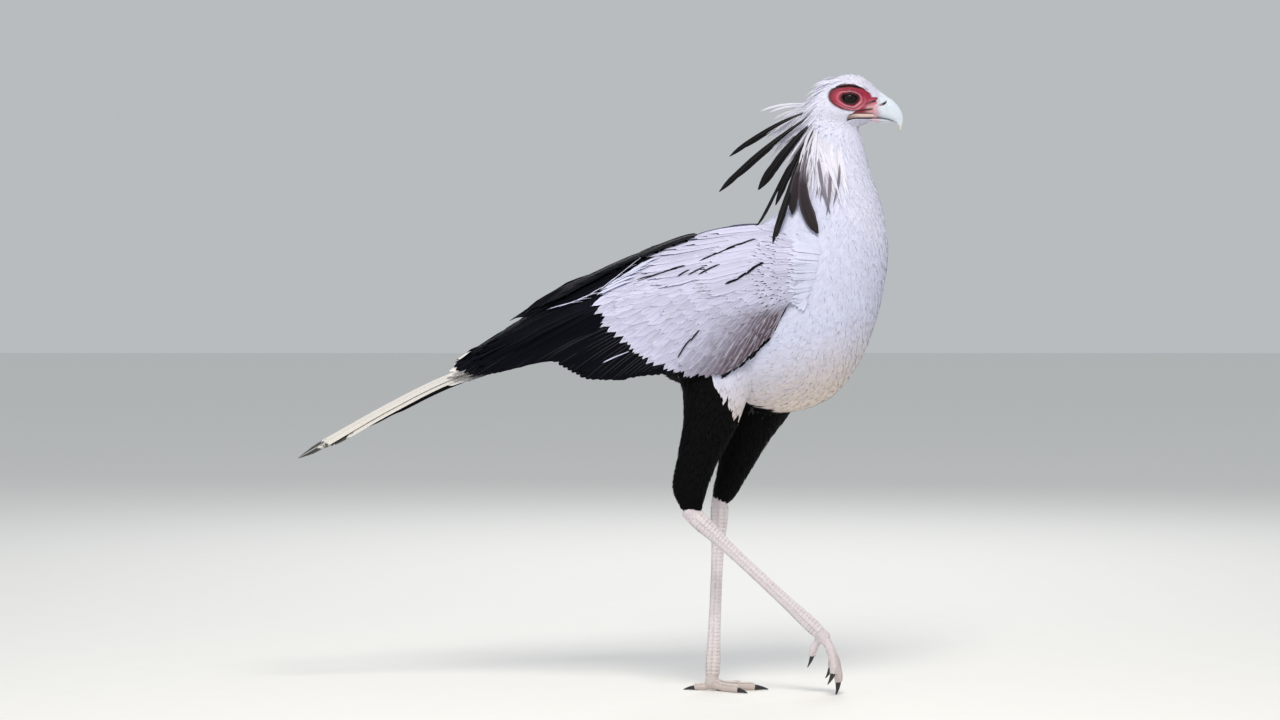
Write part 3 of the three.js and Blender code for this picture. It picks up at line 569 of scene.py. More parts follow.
@dataclass(frozen=True)
class HornFinish:
    """Smooth keratin horn, grown in fine lengthwise layers, with a colour that changes from base to tip."""

    name: str
    base: str
    body: str
    tip: str
    start: float  # where the base colour ends, as a share of the length
    end: float  # where the tip colour is full
    roughness: float = 0.34
    change: float = 0.12  # how much of the length the change to the tip colour takes
    grain: float = 2.5
    blush: str = "#D79AA6"  # the face's pink, where it runs on over the horn
    # painted shade for the nostril's hollow and the gap of the closed mouth
    hollow_shade: str = "#120D10"

    def make(self) -> bpy.types.Material:
        """Build the material: a ramp from base to tip, streaked lengthwise, with its blush and the painted shade of
        its hollows over it.
        """
        material, tree = new_material(self.name)
        share, hollow_shade, blush = (
            add_node(tree, "ShaderNodeAttribute", out="Fac", attribute_name=name)
            for name in ("Along", "HollowShade", "Blush")
        )
        here = add_node(tree, "ShaderNodeTexCoord", out="Object")
        stretched = add_node(tree, "ShaderNodeMapping", {"Vector": here, "Scale": (0.25, 1.0, 1.0)})
        noise = {"Vector": stretched, "Scale": per_mm(self.grain), "Detail": 4.0}
        grain = add_node(tree, "ShaderNodeTexNoise", noise, "Fac")
        uneven, streaks, rough = (
            add_node(tree, "ShaderNodeMath", {0: grain, 1: much, 2: base}, operation="MULTIPLY_ADD")
            for much, base in ((0.18, share), (0.22, 0.89), (0.2, self.roughness - 0.1))
        )
        end = min(1.0, self.end)
        stops = (
            (self.start, self.base), (self.start + 0.2, self.body), (end - self.change, self.body), (end, self.tip),
        )
        ramp = add_node(tree, "ShaderNodeValToRGB", {0: uneven}, stops=stops)
        tint = add_node(tree, "ShaderNodeHueSaturation", {"Color": ramp, "Value": streaks})
        # The blush is the face's real pink; the hollow colour is painted shade.
        for mask, tone in ((blush, self.blush), (hollow_shade, self.hollow_shade)):
            tint = add_node(tree, "ShaderNodeMix", {0: mask, 6: tint, 7: colour(tone)}, 2, data_type="RGBA")
        bump = add_node(tree, "ShaderNodeBump", {"Height": grain, "Strength": 0.12, "Distance": 0.4 * MM})
        look = {"Base Color": tint, "Roughness": rough, "Normal": bump, "IOR": 1.54}
        shader = add_node(tree, "ShaderNodeBsdfPrincipled", look)
        add_node(tree, "ShaderNodeOutputMaterial", {0: shader}, None)
        return material


@dataclass(frozen=True)
class ScaleFinish:
    """Leathery leg skin set with small horny scales, dusty and a little mauve between them."""

    name: str = "leg_scales"
    light: str = "#EDE7E8"
    body: str = "#D3C6CD"
    seam: str = "#8D7E8C"
    scale: float = 3.0
    seams: float = 0.42  # how strongly the lines between the scales show
    dust: str = "#B9A78F"
    cloud: float = 16.0

    def make(self) -> bpy.types.Material:
        """Build the material: clouded skin under a net of darker seams, with dust that thins out upwards."""
        material, tree = new_material(self.name)
        here = add_node(tree, "ShaderNodeTexCoord", out="Object")
        noise = {"Vector": here, "Scale": per_mm(self.cloud), "Detail": 5.0}
        cloud = add_node(tree, "ShaderNodeTexNoise", noise, "Fac")
        cells = {"Vector": here, "Scale": per_mm(self.scale)}
        edges = add_node(tree, "ShaderNodeTexVoronoi", cells, "Distance", feature="DISTANCE_TO_EDGE")
        low = add_node(tree, "ShaderNodeSeparateXYZ", {0: here}, 2)
        masks = [cloud]
        for value, near, far, start, end in ((edges, 0.0, 0.16, self.seams, 0.0), (low, 0.09, 0.0, 0.0, 0.45)):
            ends = {"Value": value, "From Min": near, "From Max": far, "To Min": start, "To Max": end}
            masks.append(add_node(tree, "ShaderNodeMapRange", ends))
        tint: Any = colour(self.body)
        for mask, tone in zip(masks, (self.light, self.seam, self.dust)):
            tint = add_node(tree, "ShaderNodeMix", {0: mask, 6: tint, 7: colour(tone)}, 2, data_type="RGBA")
        relief = {"Height": masks[1], "Strength": 0.55, "Distance": 0.5 * MM}
        bump = add_node(tree, "ShaderNodeBump", relief, invert=True)
        look = {"Base Color": tint, "Roughness": 0.55, "Normal": bump, "Specular IOR Level": 0.4}
        shader = add_node(tree, "ShaderNodeBsdfPrincipled", look)
        add_node(tree, "ShaderNodeOutputMaterial", {0: shader}, None)
        return material


@dataclass(frozen=True)
class EyeFinish:
    """A wet eye: a black pupil in a dark red-brown iris with fine spokes, under a clear cornea."""

    name: str = "wet_eye"
    pupil: str = "#010101"
    iris: str = "#1C0A08"
    rim: str = "#0A0304"
    pupil_radius: float = 5.2
    iris_radius: float = 11.0
    spoke: float = 1.2

    def make(self) -> bpy.types.Material:
        """Build the material: rings of colour about the pupil, broken by spokes, under a thin clear coat."""
        material, tree = new_material(self.name)
        ring = add_node(tree, "ShaderNodeAttribute", out="Fac", attribute_name="Ring")
        here = add_node(tree, "ShaderNodeTexCoord", out="Object")
        noise = {"Vector": here, "Scale": per_mm(self.spoke), "Detail": 3.0}
        spokes = add_node(tree, "ShaderNodeTexNoise", noise, "Fac")
        ragged = add_node(tree, "ShaderNodeMath", {0: spokes, 1: 1.2, 2: ring}, operation="MULTIPLY_ADD")
        share = add_node(tree, "ShaderNodeMath", {0: ragged, 1: EYE_RADIUS}, operation="DIVIDE")
        inner, outer = self.pupil_radius / EYE_RADIUS, self.iris_radius / EYE_RADIUS
        stops = ((inner, self.pupil), (inner + 0.06, self.iris), (outer - 0.08, self.iris), (outer, self.rim))
        ramp = add_node(tree, "ShaderNodeValToRGB", {0: share}, stops=stops)
        look = {
            "Base Color": ramp, "Roughness": 0.5, "Specular IOR Level": 0.15, "Coat Weight": 0.28,
            "Coat Roughness": 0.03, "Coat IOR": 1.38,
        }
        shader = add_node(tree, "ShaderNodeBsdfPrincipled", look)
        add_node(tree, "ShaderNodeOutputMaterial", {0: shader}, None)
        return material


@dataclass(frozen=True)
class PaperFinish:
    """A seamless paper floor, matt and faintly mottled."""

    name: str = "studio_paper"
    tone: str = "#F0EFEC"
    fibre: float = 60.0

    def make(self) -> bpy.types.Material:
        """Build the material: one tone that large, weak noise makes a little uneven."""
        material, tree = new_material(self.name)
        here = add_node(tree, "ShaderNodeTexCoord", out="Object")
        noise = {"Vector": here, "Scale": per_mm(self.fibre), "Detail": 6.0}
        fibre = add_node(tree, "ShaderNodeTexNoise", noise, "Fac")
        value = add_node(tree, "ShaderNodeMath", {0: fibre, 1: 0.03, 2: 0.985}, operation="MULTIPLY_ADD")
        toned = add_node(tree, "ShaderNodeHueSaturation", {"Color": colour(self.tone), "Value": value})
        shader = add_node(tree, "ShaderNodeBsdfPrincipled", {"Base Color": toned, "Roughness": 0.9})
        add_node(tree, "ShaderNodeOutputMaterial", {0: shader}, None)
        return material


@dataclass(frozen=True)
class VaneShape:
    """The outline of a feather as a small grid: how wide it is along its length, and how its end is rounded."""

    stops: tuple[float, ...]
    widths: tuple[float, ...]
    columns: tuple[float, ...]
    rounding: float = 0.16
    camber: float = 0.07  # how far the middle stands over the edges, as a share of the half width
    shaft: float = 0.0  # extra height of the middle column, in millimetres
    thickness: float = 0.5
    fray: float = 0.0  # how unevenly the end is worn, as a share of the length

    @property
    def size(self) -> int:
        """Points in one feather: a full outer face, and a middle line below it."""
        return len(self.stops) * (len(self.columns) + 1)

    def faces(self) -> list[tuple[int, ...]]:
        """Faces of one feather, closed all round."""
        rows, cols = len(self.stops), len(self.columns)
        over = [[i * cols + j for j in range(cols)] for i in range(rows)]
        below = [rows * cols + i for i in range(rows)]
        faces: list[tuple[int, ...]] = []
        for i in range(rows - 1):
            here, after = over[i], over[i + 1]
            faces += [(here[j], here[j + 1], after[j + 1], after[j]) for j in range(cols - 1)]
            faces += [(here[0], after[0], below[i + 1], below[i]), (after[-1], here[-1], below[i], below[i + 1])]
        return faces + [(below[0], *over[0][::-1]), (below[-1], *over[-1])]

    def smooth_flags(self) -> list[bool]:
        """Tell the upper face, which is shaded smooth, from the underside, which isn't."""
        return ([True] * (len(self.columns) - 1) + [False, False]) * (len(self.stops) - 1) + [False, False]


SMALL_VANE = VaneShape(
    (0.0, 0.3, 0.62, 0.86, 1.0), (0.3, 0.85, 1.0, 0.7, 0.2), (-1.0, 0.0, 1.0), camber=0.05, thickness=0.3,
)
BODY_VANE = VaneShape(
    (0.0, 0.25, 0.5, 0.74, 0.9, 1.0), (0.3, 0.85, 1.0, 0.84, 0.56, 0.22), (-1.0, -0.5, 0.0, 0.5, 1.0),
    rounding=0.16, camber=0.05, thickness=0.34, fray=0.04,
)
LONG_VANE = VaneShape(
    (0.0, 0.08, 0.18, 0.3, 0.42, 0.54, 0.65, 0.75, 0.84, 0.91, 0.96, 1.0),
    (0.2, 0.5, 0.76, 0.9, 0.97, 1.0, 1.0, 0.99, 0.95, 0.86, 0.7, 0.45),
    (-1.0, -0.7, -0.35, -0.06, 0.0, 0.06, 0.35, 0.7, 1.0),
    rounding=0.1,
    shaft=0.45,
    thickness=0.8,
)
COVERT_VANE = VaneShape(
    (0.0, 0.12, 0.28, 0.45, 0.6, 0.73, 0.84, 0.92, 0.97, 1.0),
    (0.25, 0.6, 0.85, 0.97, 1.0, 1.0, 0.96, 0.87, 0.72, 0.45),
    (-1.0, -0.6, -0.25, 0.0, 0.25, 0.6, 1.0),
    rounding=0.11,
    shaft=0.3,
    thickness=0.5,
    fray=0.035,
)


@dataclass
class Plumage:
    """Feathers gathered for one piece: their points, faces and what their material reads."""

    points: list[Array] = field(default_factory=list)
    faces: list[Array | list[tuple[int, ...]]] = field(default_factory=list)
    places: list[Array] = field(default_factory=list)
    spans: list[Array] = field(default_factory=list)
    bakes: list[Array] = field(default_factory=list)
    lines: list[Array] = field(default_factory=list)
    smooth: list[bool] = field(default_factory=list)
    facings: list[Array] = field(default_factory=list)
    count: int = 0

    def add(
        self, shape: VaneShape, lines: Array, sides: Array, normals: Array, half: Array, *, roots: Array,
        rng: np.random.Generator, ragged: float, tilt: float = 0.0, patch: float = 0.003, shafts: bool = False,
        outward: Array | None = None, soft: float = 0.0,
    ) -> None:
        """Add a batch of feathers of one shape.

        Args:
            shape: The outline that they share.
            lines: Their middle lines, feathers by stops by xyz.
            sides: The way across at each stop, as unit vectors.
            normals: The way out at each stop, as unit vectors.
            half: The widest half width of each.
            roots: Their places on the bake map.
            rng: The seeded random source.
            ragged: How uneven the edges are, as a share of the width.
            tilt: Height added from one edge to the other.
            patch: The size of each one's patch on the bake map.
            shafts: Whether their middle lines are kept for shafts.
            outward: The way out of the body below, or None for their own.
            soft: How far the shading follows outward, from 0 to 1.
        """
        n, rows, _ = lines.shape
        cols = np.asarray(shape.columns)
        widths = np.asarray(shape.widths)[None, :, None] * np.ones((n, 1, 2))
        widths = widths * (1 + ragged * (rng.random(widths.shape) * 2 - 1))
        left = np.where(cols < 0, -cols, 0)
        right = np.where(cols > 0, cols, 0)
        across = half[:, None, None] * (widths[:, :, 1:] * right - widths[:, :, :1] * left)
        tangents = unit(np.gradient(lines, axis=1))
        step = np.linalg.norm(lines[:, -1] - lines[:, 0], axis=-1)
        stops = np.asarray(shape.stops)[None, :, None]
        back = shape.rounding * step[:, None, None] * np.abs(cols) ** 2.2 * stops**6
        if shape.fray:
            back = back + shape.fray * step[:, None, None] * rng.random((n, 1, len(cols))) * stops**8
        height = shape.camber * half[:, None, None] * (1 - np.abs(cols) ** 2) * np.minimum(1, stops * 4)
        height = height + shape.shaft * np.exp(-((cols / 0.05) ** 2)) * (1 - 0.8 * stops)
        height = height + tilt * cols
        top = (
            lines[:, :, None]
            + sides[:, :, None] * across[..., None]
            + normals[:, :, None] * height[..., None]
            - tangents[:, :, None] * back[..., None]
        )
        middle = len(cols) // 2
        thin = shape.thickness * (1 - 0.55 * np.asarray(shape.stops))[None, :, None]
        below = top[:, :, middle] - normals * (thin + shape.shaft)
        points = np.concatenate([top.reshape(n, -1, 3), below], axis=1)
        share = np.broadcast_to(stops, (n, rows, len(cols))) - back / np.maximum(step, 1)[:, None, None]
        chance = rng.random(n)
        spread = np.broadcast_to(chance[:, None, None], share.shape)
        place = np.stack([share, np.broadcast_to(cols, share.shape), spread], -1).reshape(n, -1, 3)
        low = np.stack([share[:, :, middle], 0 * share[:, :, middle], spread[:, :, middle]], -1)
        span = np.stack([share * step[:, None, None], across, spread], -1).reshape(n, -1, 3)
        far = np.stack([low[..., 0] * step[:, None], low[..., 1], low[..., 2]], -1)
        faces = shape.faces()
        reversed_faces = [f[::-1] for f in faces]
        inward = (np.cross(sides, tangents) * normals).sum(-1).mean(axis=1) < 0
        for i in range(n):
            offset = self.count + i * shape.size
            self.faces.append([tuple(offset + k for k in f) for f in (reversed_faces if inward[i] else faces)])
        self.smooth += shape.smooth_flags() * n
        self.count += n * shape.size
        places = np.concatenate([place, low], axis=1)
        self.points.append(points.reshape(-1, 3))
        self.places.append(places.reshape(-1, 3))
        self.spans.append(np.concatenate([span, far], axis=1).reshape(-1, 3))
        own = normals[:, :, None] + sides[:, :, None] * (2 * shape.camber * cols)[:, None]
        body = normals if outward is None else outward
        shading = unit(own * (1 - soft) + body[:, :, None] * soft)
        self.facings.append(np.concatenate([shading.reshape(n, -1, 3), -normals], axis=1).reshape(-1, 3))
        local = np.stack([places[..., 0] - 0.5, places[..., 1] * 0.5], -1) * patch
        self.bakes.append((roots[:, None, :] + local).reshape(-1, 2))
        if shafts:
            self.lines.extend(lines + normals * (shape.camber * half[:, None, None] + 0.1))

    def make(self, name: str, material: bpy.types.Material) -> bpy.types.Object:
        """Turn the batches into one object with its attributes and bake map."""
        faces = [f for batch in self.faces for f in batch]
        made = new_object(name, np.concatenate(self.points), faces)
        made.data.polygons.foreach_set("use_smooth", np.array(self.smooth))
        add_attribute(made, "Place", np.concatenate(self.places))
        add_attribute(made, "Span", np.concatenate(self.spans))
        add_bake_map(made, np.concatenate(self.bakes))
        self.shade(made.data)
        made.data.materials.append(material)
        return made

    def shade(self, mesh: bpy.types.Mesh) -> None:
        """Let the upper faces shade as one soft coat, while undersides keep their own facing."""
        corners = np.empty(len(mesh.loops), np.int32)
        mesh.loops.foreach_get("vertex_index", corners)
        flat = np.empty(len(mesh.polygons) * 3, np.float32)
        mesh.polygons.foreach_get("normal", flat)
        totals = np.empty(len(mesh.polygons), np.int32)
        mesh.polygons.foreach_get("loop_total", totals)
        upper = np.repeat(np.array(self.smooth), totals)[:, None]
        own = np.repeat(flat.reshape(-1, 3), totals, axis=0)
        facings = np.where(upper, np.concatenate(self.facings)[corners], own)
        mesh.normals_split_custom_set(facings.tolist())


class Surface:
    """A finished mesh that can be asked for the nearest point and the way out of it, in millimetres."""

    def __init__(self, piece: bpy.types.Object) -> None:
        """Read the mesh."""
        self.points = mesh_points(piece)
        self.faces = [tuple(p.vertices) for p in piece.data.polygons]
        flat = np.empty(len(self.points) * 3)
        piece.data.vertices.foreach_get("normal", flat)
        normals = flat.reshape(-1, 3)
        self.normals = unit(np.array([normals[list(f)].mean(axis=0) for f in self.faces]))
        self.centres = np.array([self.points[list(f)].mean(axis=0) for f in self.faces])
        self.areas = np.empty(len(self.faces))
        piece.data.polygons.foreach_get("area", self.areas)
        self.tree = BVHTree.FromPolygons(self.points.tolist(), self.faces)

    def nearest(self, points: Array) -> tuple[Array, Array]:
        """Find the nearest surface point to each point, and the smoothed way out there."""
        flat = points.reshape(-1, 3)
        found = [self.tree.find_nearest(Vector(p)) for p in flat]
        spots = np.array([tuple(f[0]) for f in found])
        normals = self.normals[[f[2] for f in found]]
        return spots.reshape(points.shape), normals.reshape(points.shape)

    def scatter(self, spacing: Array, rng: np.random.Generator) -> Array:
        """Pick face numbers so that the picked centres keep their spacing.

        Args:
            spacing: The distance wanted round each face, or BARREN where nothing grows.
            rng: The seeded random source.

        Returns:
            Rows of chosen points and, as a fourth column, their face numbers.
        """
        weights = self.areas / MM**2 / spacing**2
        wanted = int(weights.sum() * 4)
        picks = rng.choice(len(weights), wanted, p=weights / weights.sum())
        corners = [self.points[list(self.faces[i])] for i in picks]
        shares = rng.random((wanted, 2))
        spots = np.array([c[0] + (c[1] - c[0]) * a + (c[-1] - c[0]) * b for c, (a, b) in zip(corners, shares)])
        cell = float(spacing[spacing < BARREN].max())
        kept: dict[tuple[int, ...], list[tuple[float, float, float, float]]] = {}
        chosen: list[tuple[float, float, float, float]] = []
        for face, (x, y, z) in zip(picks, spots.tolist()):
            room = float(spacing[face])
            home = (int(x // cell), int(y // cell), int(z // cell))
            cells = (tuple(h + s for h, s in zip(home, step)) for step in product((-1, 0, 1), repeat=3))
            if not any(
                (x - ox) ** 2 + (y - oy) ** 2 + (z - oz) ** 2 < (0.5 * (room + other)) ** 2
                for key in cells
                for ox, oy, oz, other in kept.get(key, ())
            ):
                kept.setdefault(home, []).append((x, y, z, room))
                chosen.append((x, y, z, float(face)))
        return np.array(chosen)


class Region(Enum):
    """Where on the bird a feather grows."""

    HEAD = 0
    TRUNK = 1
    RIGHT_THIGH = 2
    LEFT_THIGH = 3


RIGHT_EDGE = ([499, 565, 640], [262, 216, 166])  # heights, and where the right thigh's black begins there
LEFT_EDGE = ([455, 516, 590, 640], [306, 348, 346, 292])


def behind_thigh(points: Array) -> Array:
    """Find places on the belly that lie behind a thigh's front edge, where the black feathers begin."""
    z = points[:, 2]
    front = np.where(points[:, 1] < -24, np.interp(z, *RIGHT_EDGE), np.interp(z, *LEFT_EDGE))
    return (z < 640) & (points[:, 0] < front) & (points[:, 0] > 110)


class Lie:
    """Which way the feathers lie, and where on the body's own form a place is."""

    def __init__(self, surface: Surface) -> None:
        """Sample each body with its lengthwise direction, where the body shows on the finished skin."""
        samples = [
            self.sample(region, Loft(stations), -1.0 if region is Region.HEAD else 1.0)
            for region, stations in zip(Region, (HEAD, TRUNK, RIGHT_THIGH, LEFT_THIGH))
        ]
        spots, ways, kinds, forms = (np.concatenate(column) for column in zip(*samples))
        seen = np.linalg.norm(surface.nearest(spots)[0] - spots, axis=-1) < SHOWS
        spots, self.ways, self.kinds, self.forms = spots[seen], ways[seen], kinds[seen], forms[seen]
        self.tree = self.planted(spots)
        self.thighs = self.planted(spots[self.kinds >= Region.RIGHT_THIGH.value])
        self.white = self.planted(spots[(self.kinds == Region.TRUNK.value) & ~behind_thigh(spots)])

    def planted(self, spots: Array) -> KDTree:
        """Put places into a tree that finds the nearest."""
        tree = KDTree(len(spots))
        for i, spot in enumerate(spots):
            tree.insert(Vector(spot), i)
        tree.balance()
        return tree

    def sample(self, region: Region, body: Loft, sense: float) -> tuple[Array, Array, Array, Array]:
        """Sample one body: places, its direction forwards or backwards there, its number and places on its form."""
        along, around, step = 90, 48, 0.004
        t, turn = np.meshgrid(np.linspace(0.01, 0.99, along), circle(around), indexing="ij")
        way = unit(body.points(t + step, turn) - body.points(t - step, turn)) * sense
        spots, forms = body.points(t, turn).reshape(-1, 3), np.stack([t, turn], -1).reshape(-1, 2)
        return spots, way.reshape(-1, 3), np.full(along * around, region.value), forms

    def look_up(self, points: Array) -> tuple[Array, Array, Array]:
        """Read the lie at places.

        Args:
            points: Places in millimetres.

        Returns:
            The direction at each, its region's number, and its place (t, turn) on that region's form.
        """
        ways, kinds, forms = [], [], []
        for point in points:
            near = self.tree.find_n(Vector(point), 5)
            index = [n[1] for n in near]
            weight = np.array([1 / (n[2] + 1.0) for n in near])
            ways.append((self.ways[index] * weight[:, None]).sum(axis=0))
            kinds.append(self.kinds[index[0]])
            forms.append(self.forms[index[0]])
        return unit(np.array(ways)), np.array(kinds), np.array(forms)


def geometry_tree(name: str, inputs: dict[str, str]) -> tuple[bpy.types.NodeTree, Any, dict[str, str]]:
    """Start a Geometry Nodes tree with a geometry input and output.

    Args:
        name: The tree's name.
        inputs: Further inputs, name to socket type.

    Returns:
        The tree, its input node, and each input's identifier by name.
    """
    tree = bpy.data.node_groups.new(name, "GeometryNodeTree")
    tree.interface.new_socket("Geometry", in_out="INPUT", socket_type="NodeSocketGeometry")
    tree.interface.new_socket("Geometry", in_out="OUTPUT", socket_type="NodeSocketGeometry")
    keys = {}
    for label, kind in inputs.items():
        keys[label] = tree.interface.new_socket(label, in_out="INPUT", socket_type=kind).identifier
    return tree, add_node(tree, "NodeGroupInput", out=None), keys


def end_tree(tree: bpy.types.NodeTree, start: Any, shape: Any) -> None:
    """End a tree: make its shape real and give it the finish that comes in at its start."""
    real = add_node(tree, "GeometryNodeRealizeInstances", {0: shape})
    done = add_node(tree, "GeometryNodeSetMaterial", {"Geometry": real, "Material": start.outputs["Finish"]})
    add_node(tree, "NodeGroupOutput", {0: done}, None)


def grown(piece: bpy.types.Object, tree: bpy.types.NodeTree, values: dict[str, Any]) -> bpy.types.Object:
    """Run a Geometry Nodes tree on a piece and keep its result as a plain mesh.

    Args:
        piece: The object that carries the points or lines.
        tree: The tree.
        values: Input values by identifier.

    Returns:
        The same object with its new mesh.
    """
    modifier = piece.modifiers.new(tree.name, "NODES")
    modifier.node_group = tree
    for identifier, value in values.items():
        modifier[identifier] = value
    return baked(piece)


def tube_tree() -> tuple[bpy.types.NodeTree, dict[str, str]]:
    """Build the tree that sweeps round, tapering tubes along mesh lines.

    Returns:
        The tree and its inputs' identifiers.
    """
    tree, start, keys = geometry_tree(
        "tapered_tubes", {"Radius": "NodeSocketFloat", "Sides": "NodeSocketInt", "Finish": "NodeSocketMaterial"}
    )
    curve = add_node(tree, "GeometryNodeMeshToCurve", {0: start.outputs["Geometry"]})
    thin = add_node(tree, "GeometryNodeInputNamedAttribute", {"Name": "Thin"}, "Attribute", data_type="FLOAT")
    radius = add_node(tree, "ShaderNodeMath", {0: thin, 1: start.outputs["Radius"]}, operation="MULTIPLY")
    profile = add_node(
        tree, "GeometryNodeCurvePrimitiveCircle", {"Resolution": start.outputs["Sides"], "Radius": 1.0}
    )
    sized = add_node(tree, "GeometryNodeSetCurveRadius", {"Curve": curve, "Radius": radius})
    sweep = {"Curve": sized, "Profile Curve": profile, "Fill Caps": True}
    swept = add_node(tree, "GeometryNodeCurveToMesh", sweep, None)
    if "Scale" in swept.inputs:
        tree.links.new(radius, swept.inputs["Scale"])
    end_tree(tree, start, add_node(tree, "GeometryNodeSetShadeSmooth", {0: swept.outputs[0]}))
    return tree, keys


def plate_tree() -> tuple[bpy.types.NodeTree, dict[str, str]]:
    """Build the tree that sets a plate on every point, turned and sized by the point's own attributes.

    Returns:
        The tree and its inputs' identifiers.
    """
    tree, start, keys = geometry_tree(
        "scute_plates",
        {
            "Plate": "NodeSocketObject", "Variation": "NodeSocketFloat", "Seed": "NodeSocketInt",
            "Finish": "NodeSocketMaterial",
        },
    )
    plate = add_node(tree, "GeometryNodeObjectInfo", {"Object": start.outputs["Plate"]}, "Geometry")
    turn, size = (
        add_node(tree, "GeometryNodeInputNamedAttribute", {"Name": name}, "Attribute", data_type="FLOAT_VECTOR")
        for name in ("Turn", "Size")
    )
    low, high = (
        add_node(tree, "ShaderNodeMath", {0: 1.0, 1: start.outputs["Variation"]}, operation=way)
        for way in ("SUBTRACT", "ADD")
    )
    limits = {2: low, 3: high, "Seed": start.outputs["Seed"]}
    vary = add_node(tree, "FunctionNodeRandomValue", limits, 1, data_type="FLOAT")
    scale = add_node(tree, "ShaderNodeVectorMath", {0: size, "Scale": vary}, operation="SCALE")
    rotation = add_node(tree, "FunctionNodeEulerToRotation", {0: turn})
    where = {"Points": start.outputs["Geometry"], "Instance": plate, "Rotation": rotation, "Scale": scale}
    end_tree(tree, start, add_node(tree, "GeometryNodeInstanceOnPoints", where))
    return tree, keys


def tubes(
    name: str, lines: Sequence[Array], radius: float, taper: float, finish: bpy.types.Material, sides: int = 6
) -> bpy.types.Object:
    """Sweep tapering tubes along lines.

    Args:
        name: The piece's name.
        lines: Each line's points in millimetres, from its thick end.
        radius: The thick end's radius in millimetres.
        taper: The thin end's radius as a share of it.
        finish: The tubes' material.
        sides: How many sides a tube has.

    Returns:
        The tubes as one mesh object.
    """
    points = np.concatenate(lines)
    thin = np.concatenate([np.linspace(1, taper, len(line)) for line in lines])
    edges, offset = [], 0
    for line in lines:
        edges += [(offset + i, offset + i + 1) for i in range(len(line) - 1)]
        offset += len(line)
    mesh = bpy.data.meshes.new(name)
    mesh.from_pydata((points * MM).tolist(), edges, [])
    made = linked(name, mesh)
    add_attribute(made, "Thin", thin)
    tree, keys = tube_tree()
    return grown(made, tree, {keys["Radius"]: radius * MM, keys["Sides"]: sides, keys["Finish"]: finish})


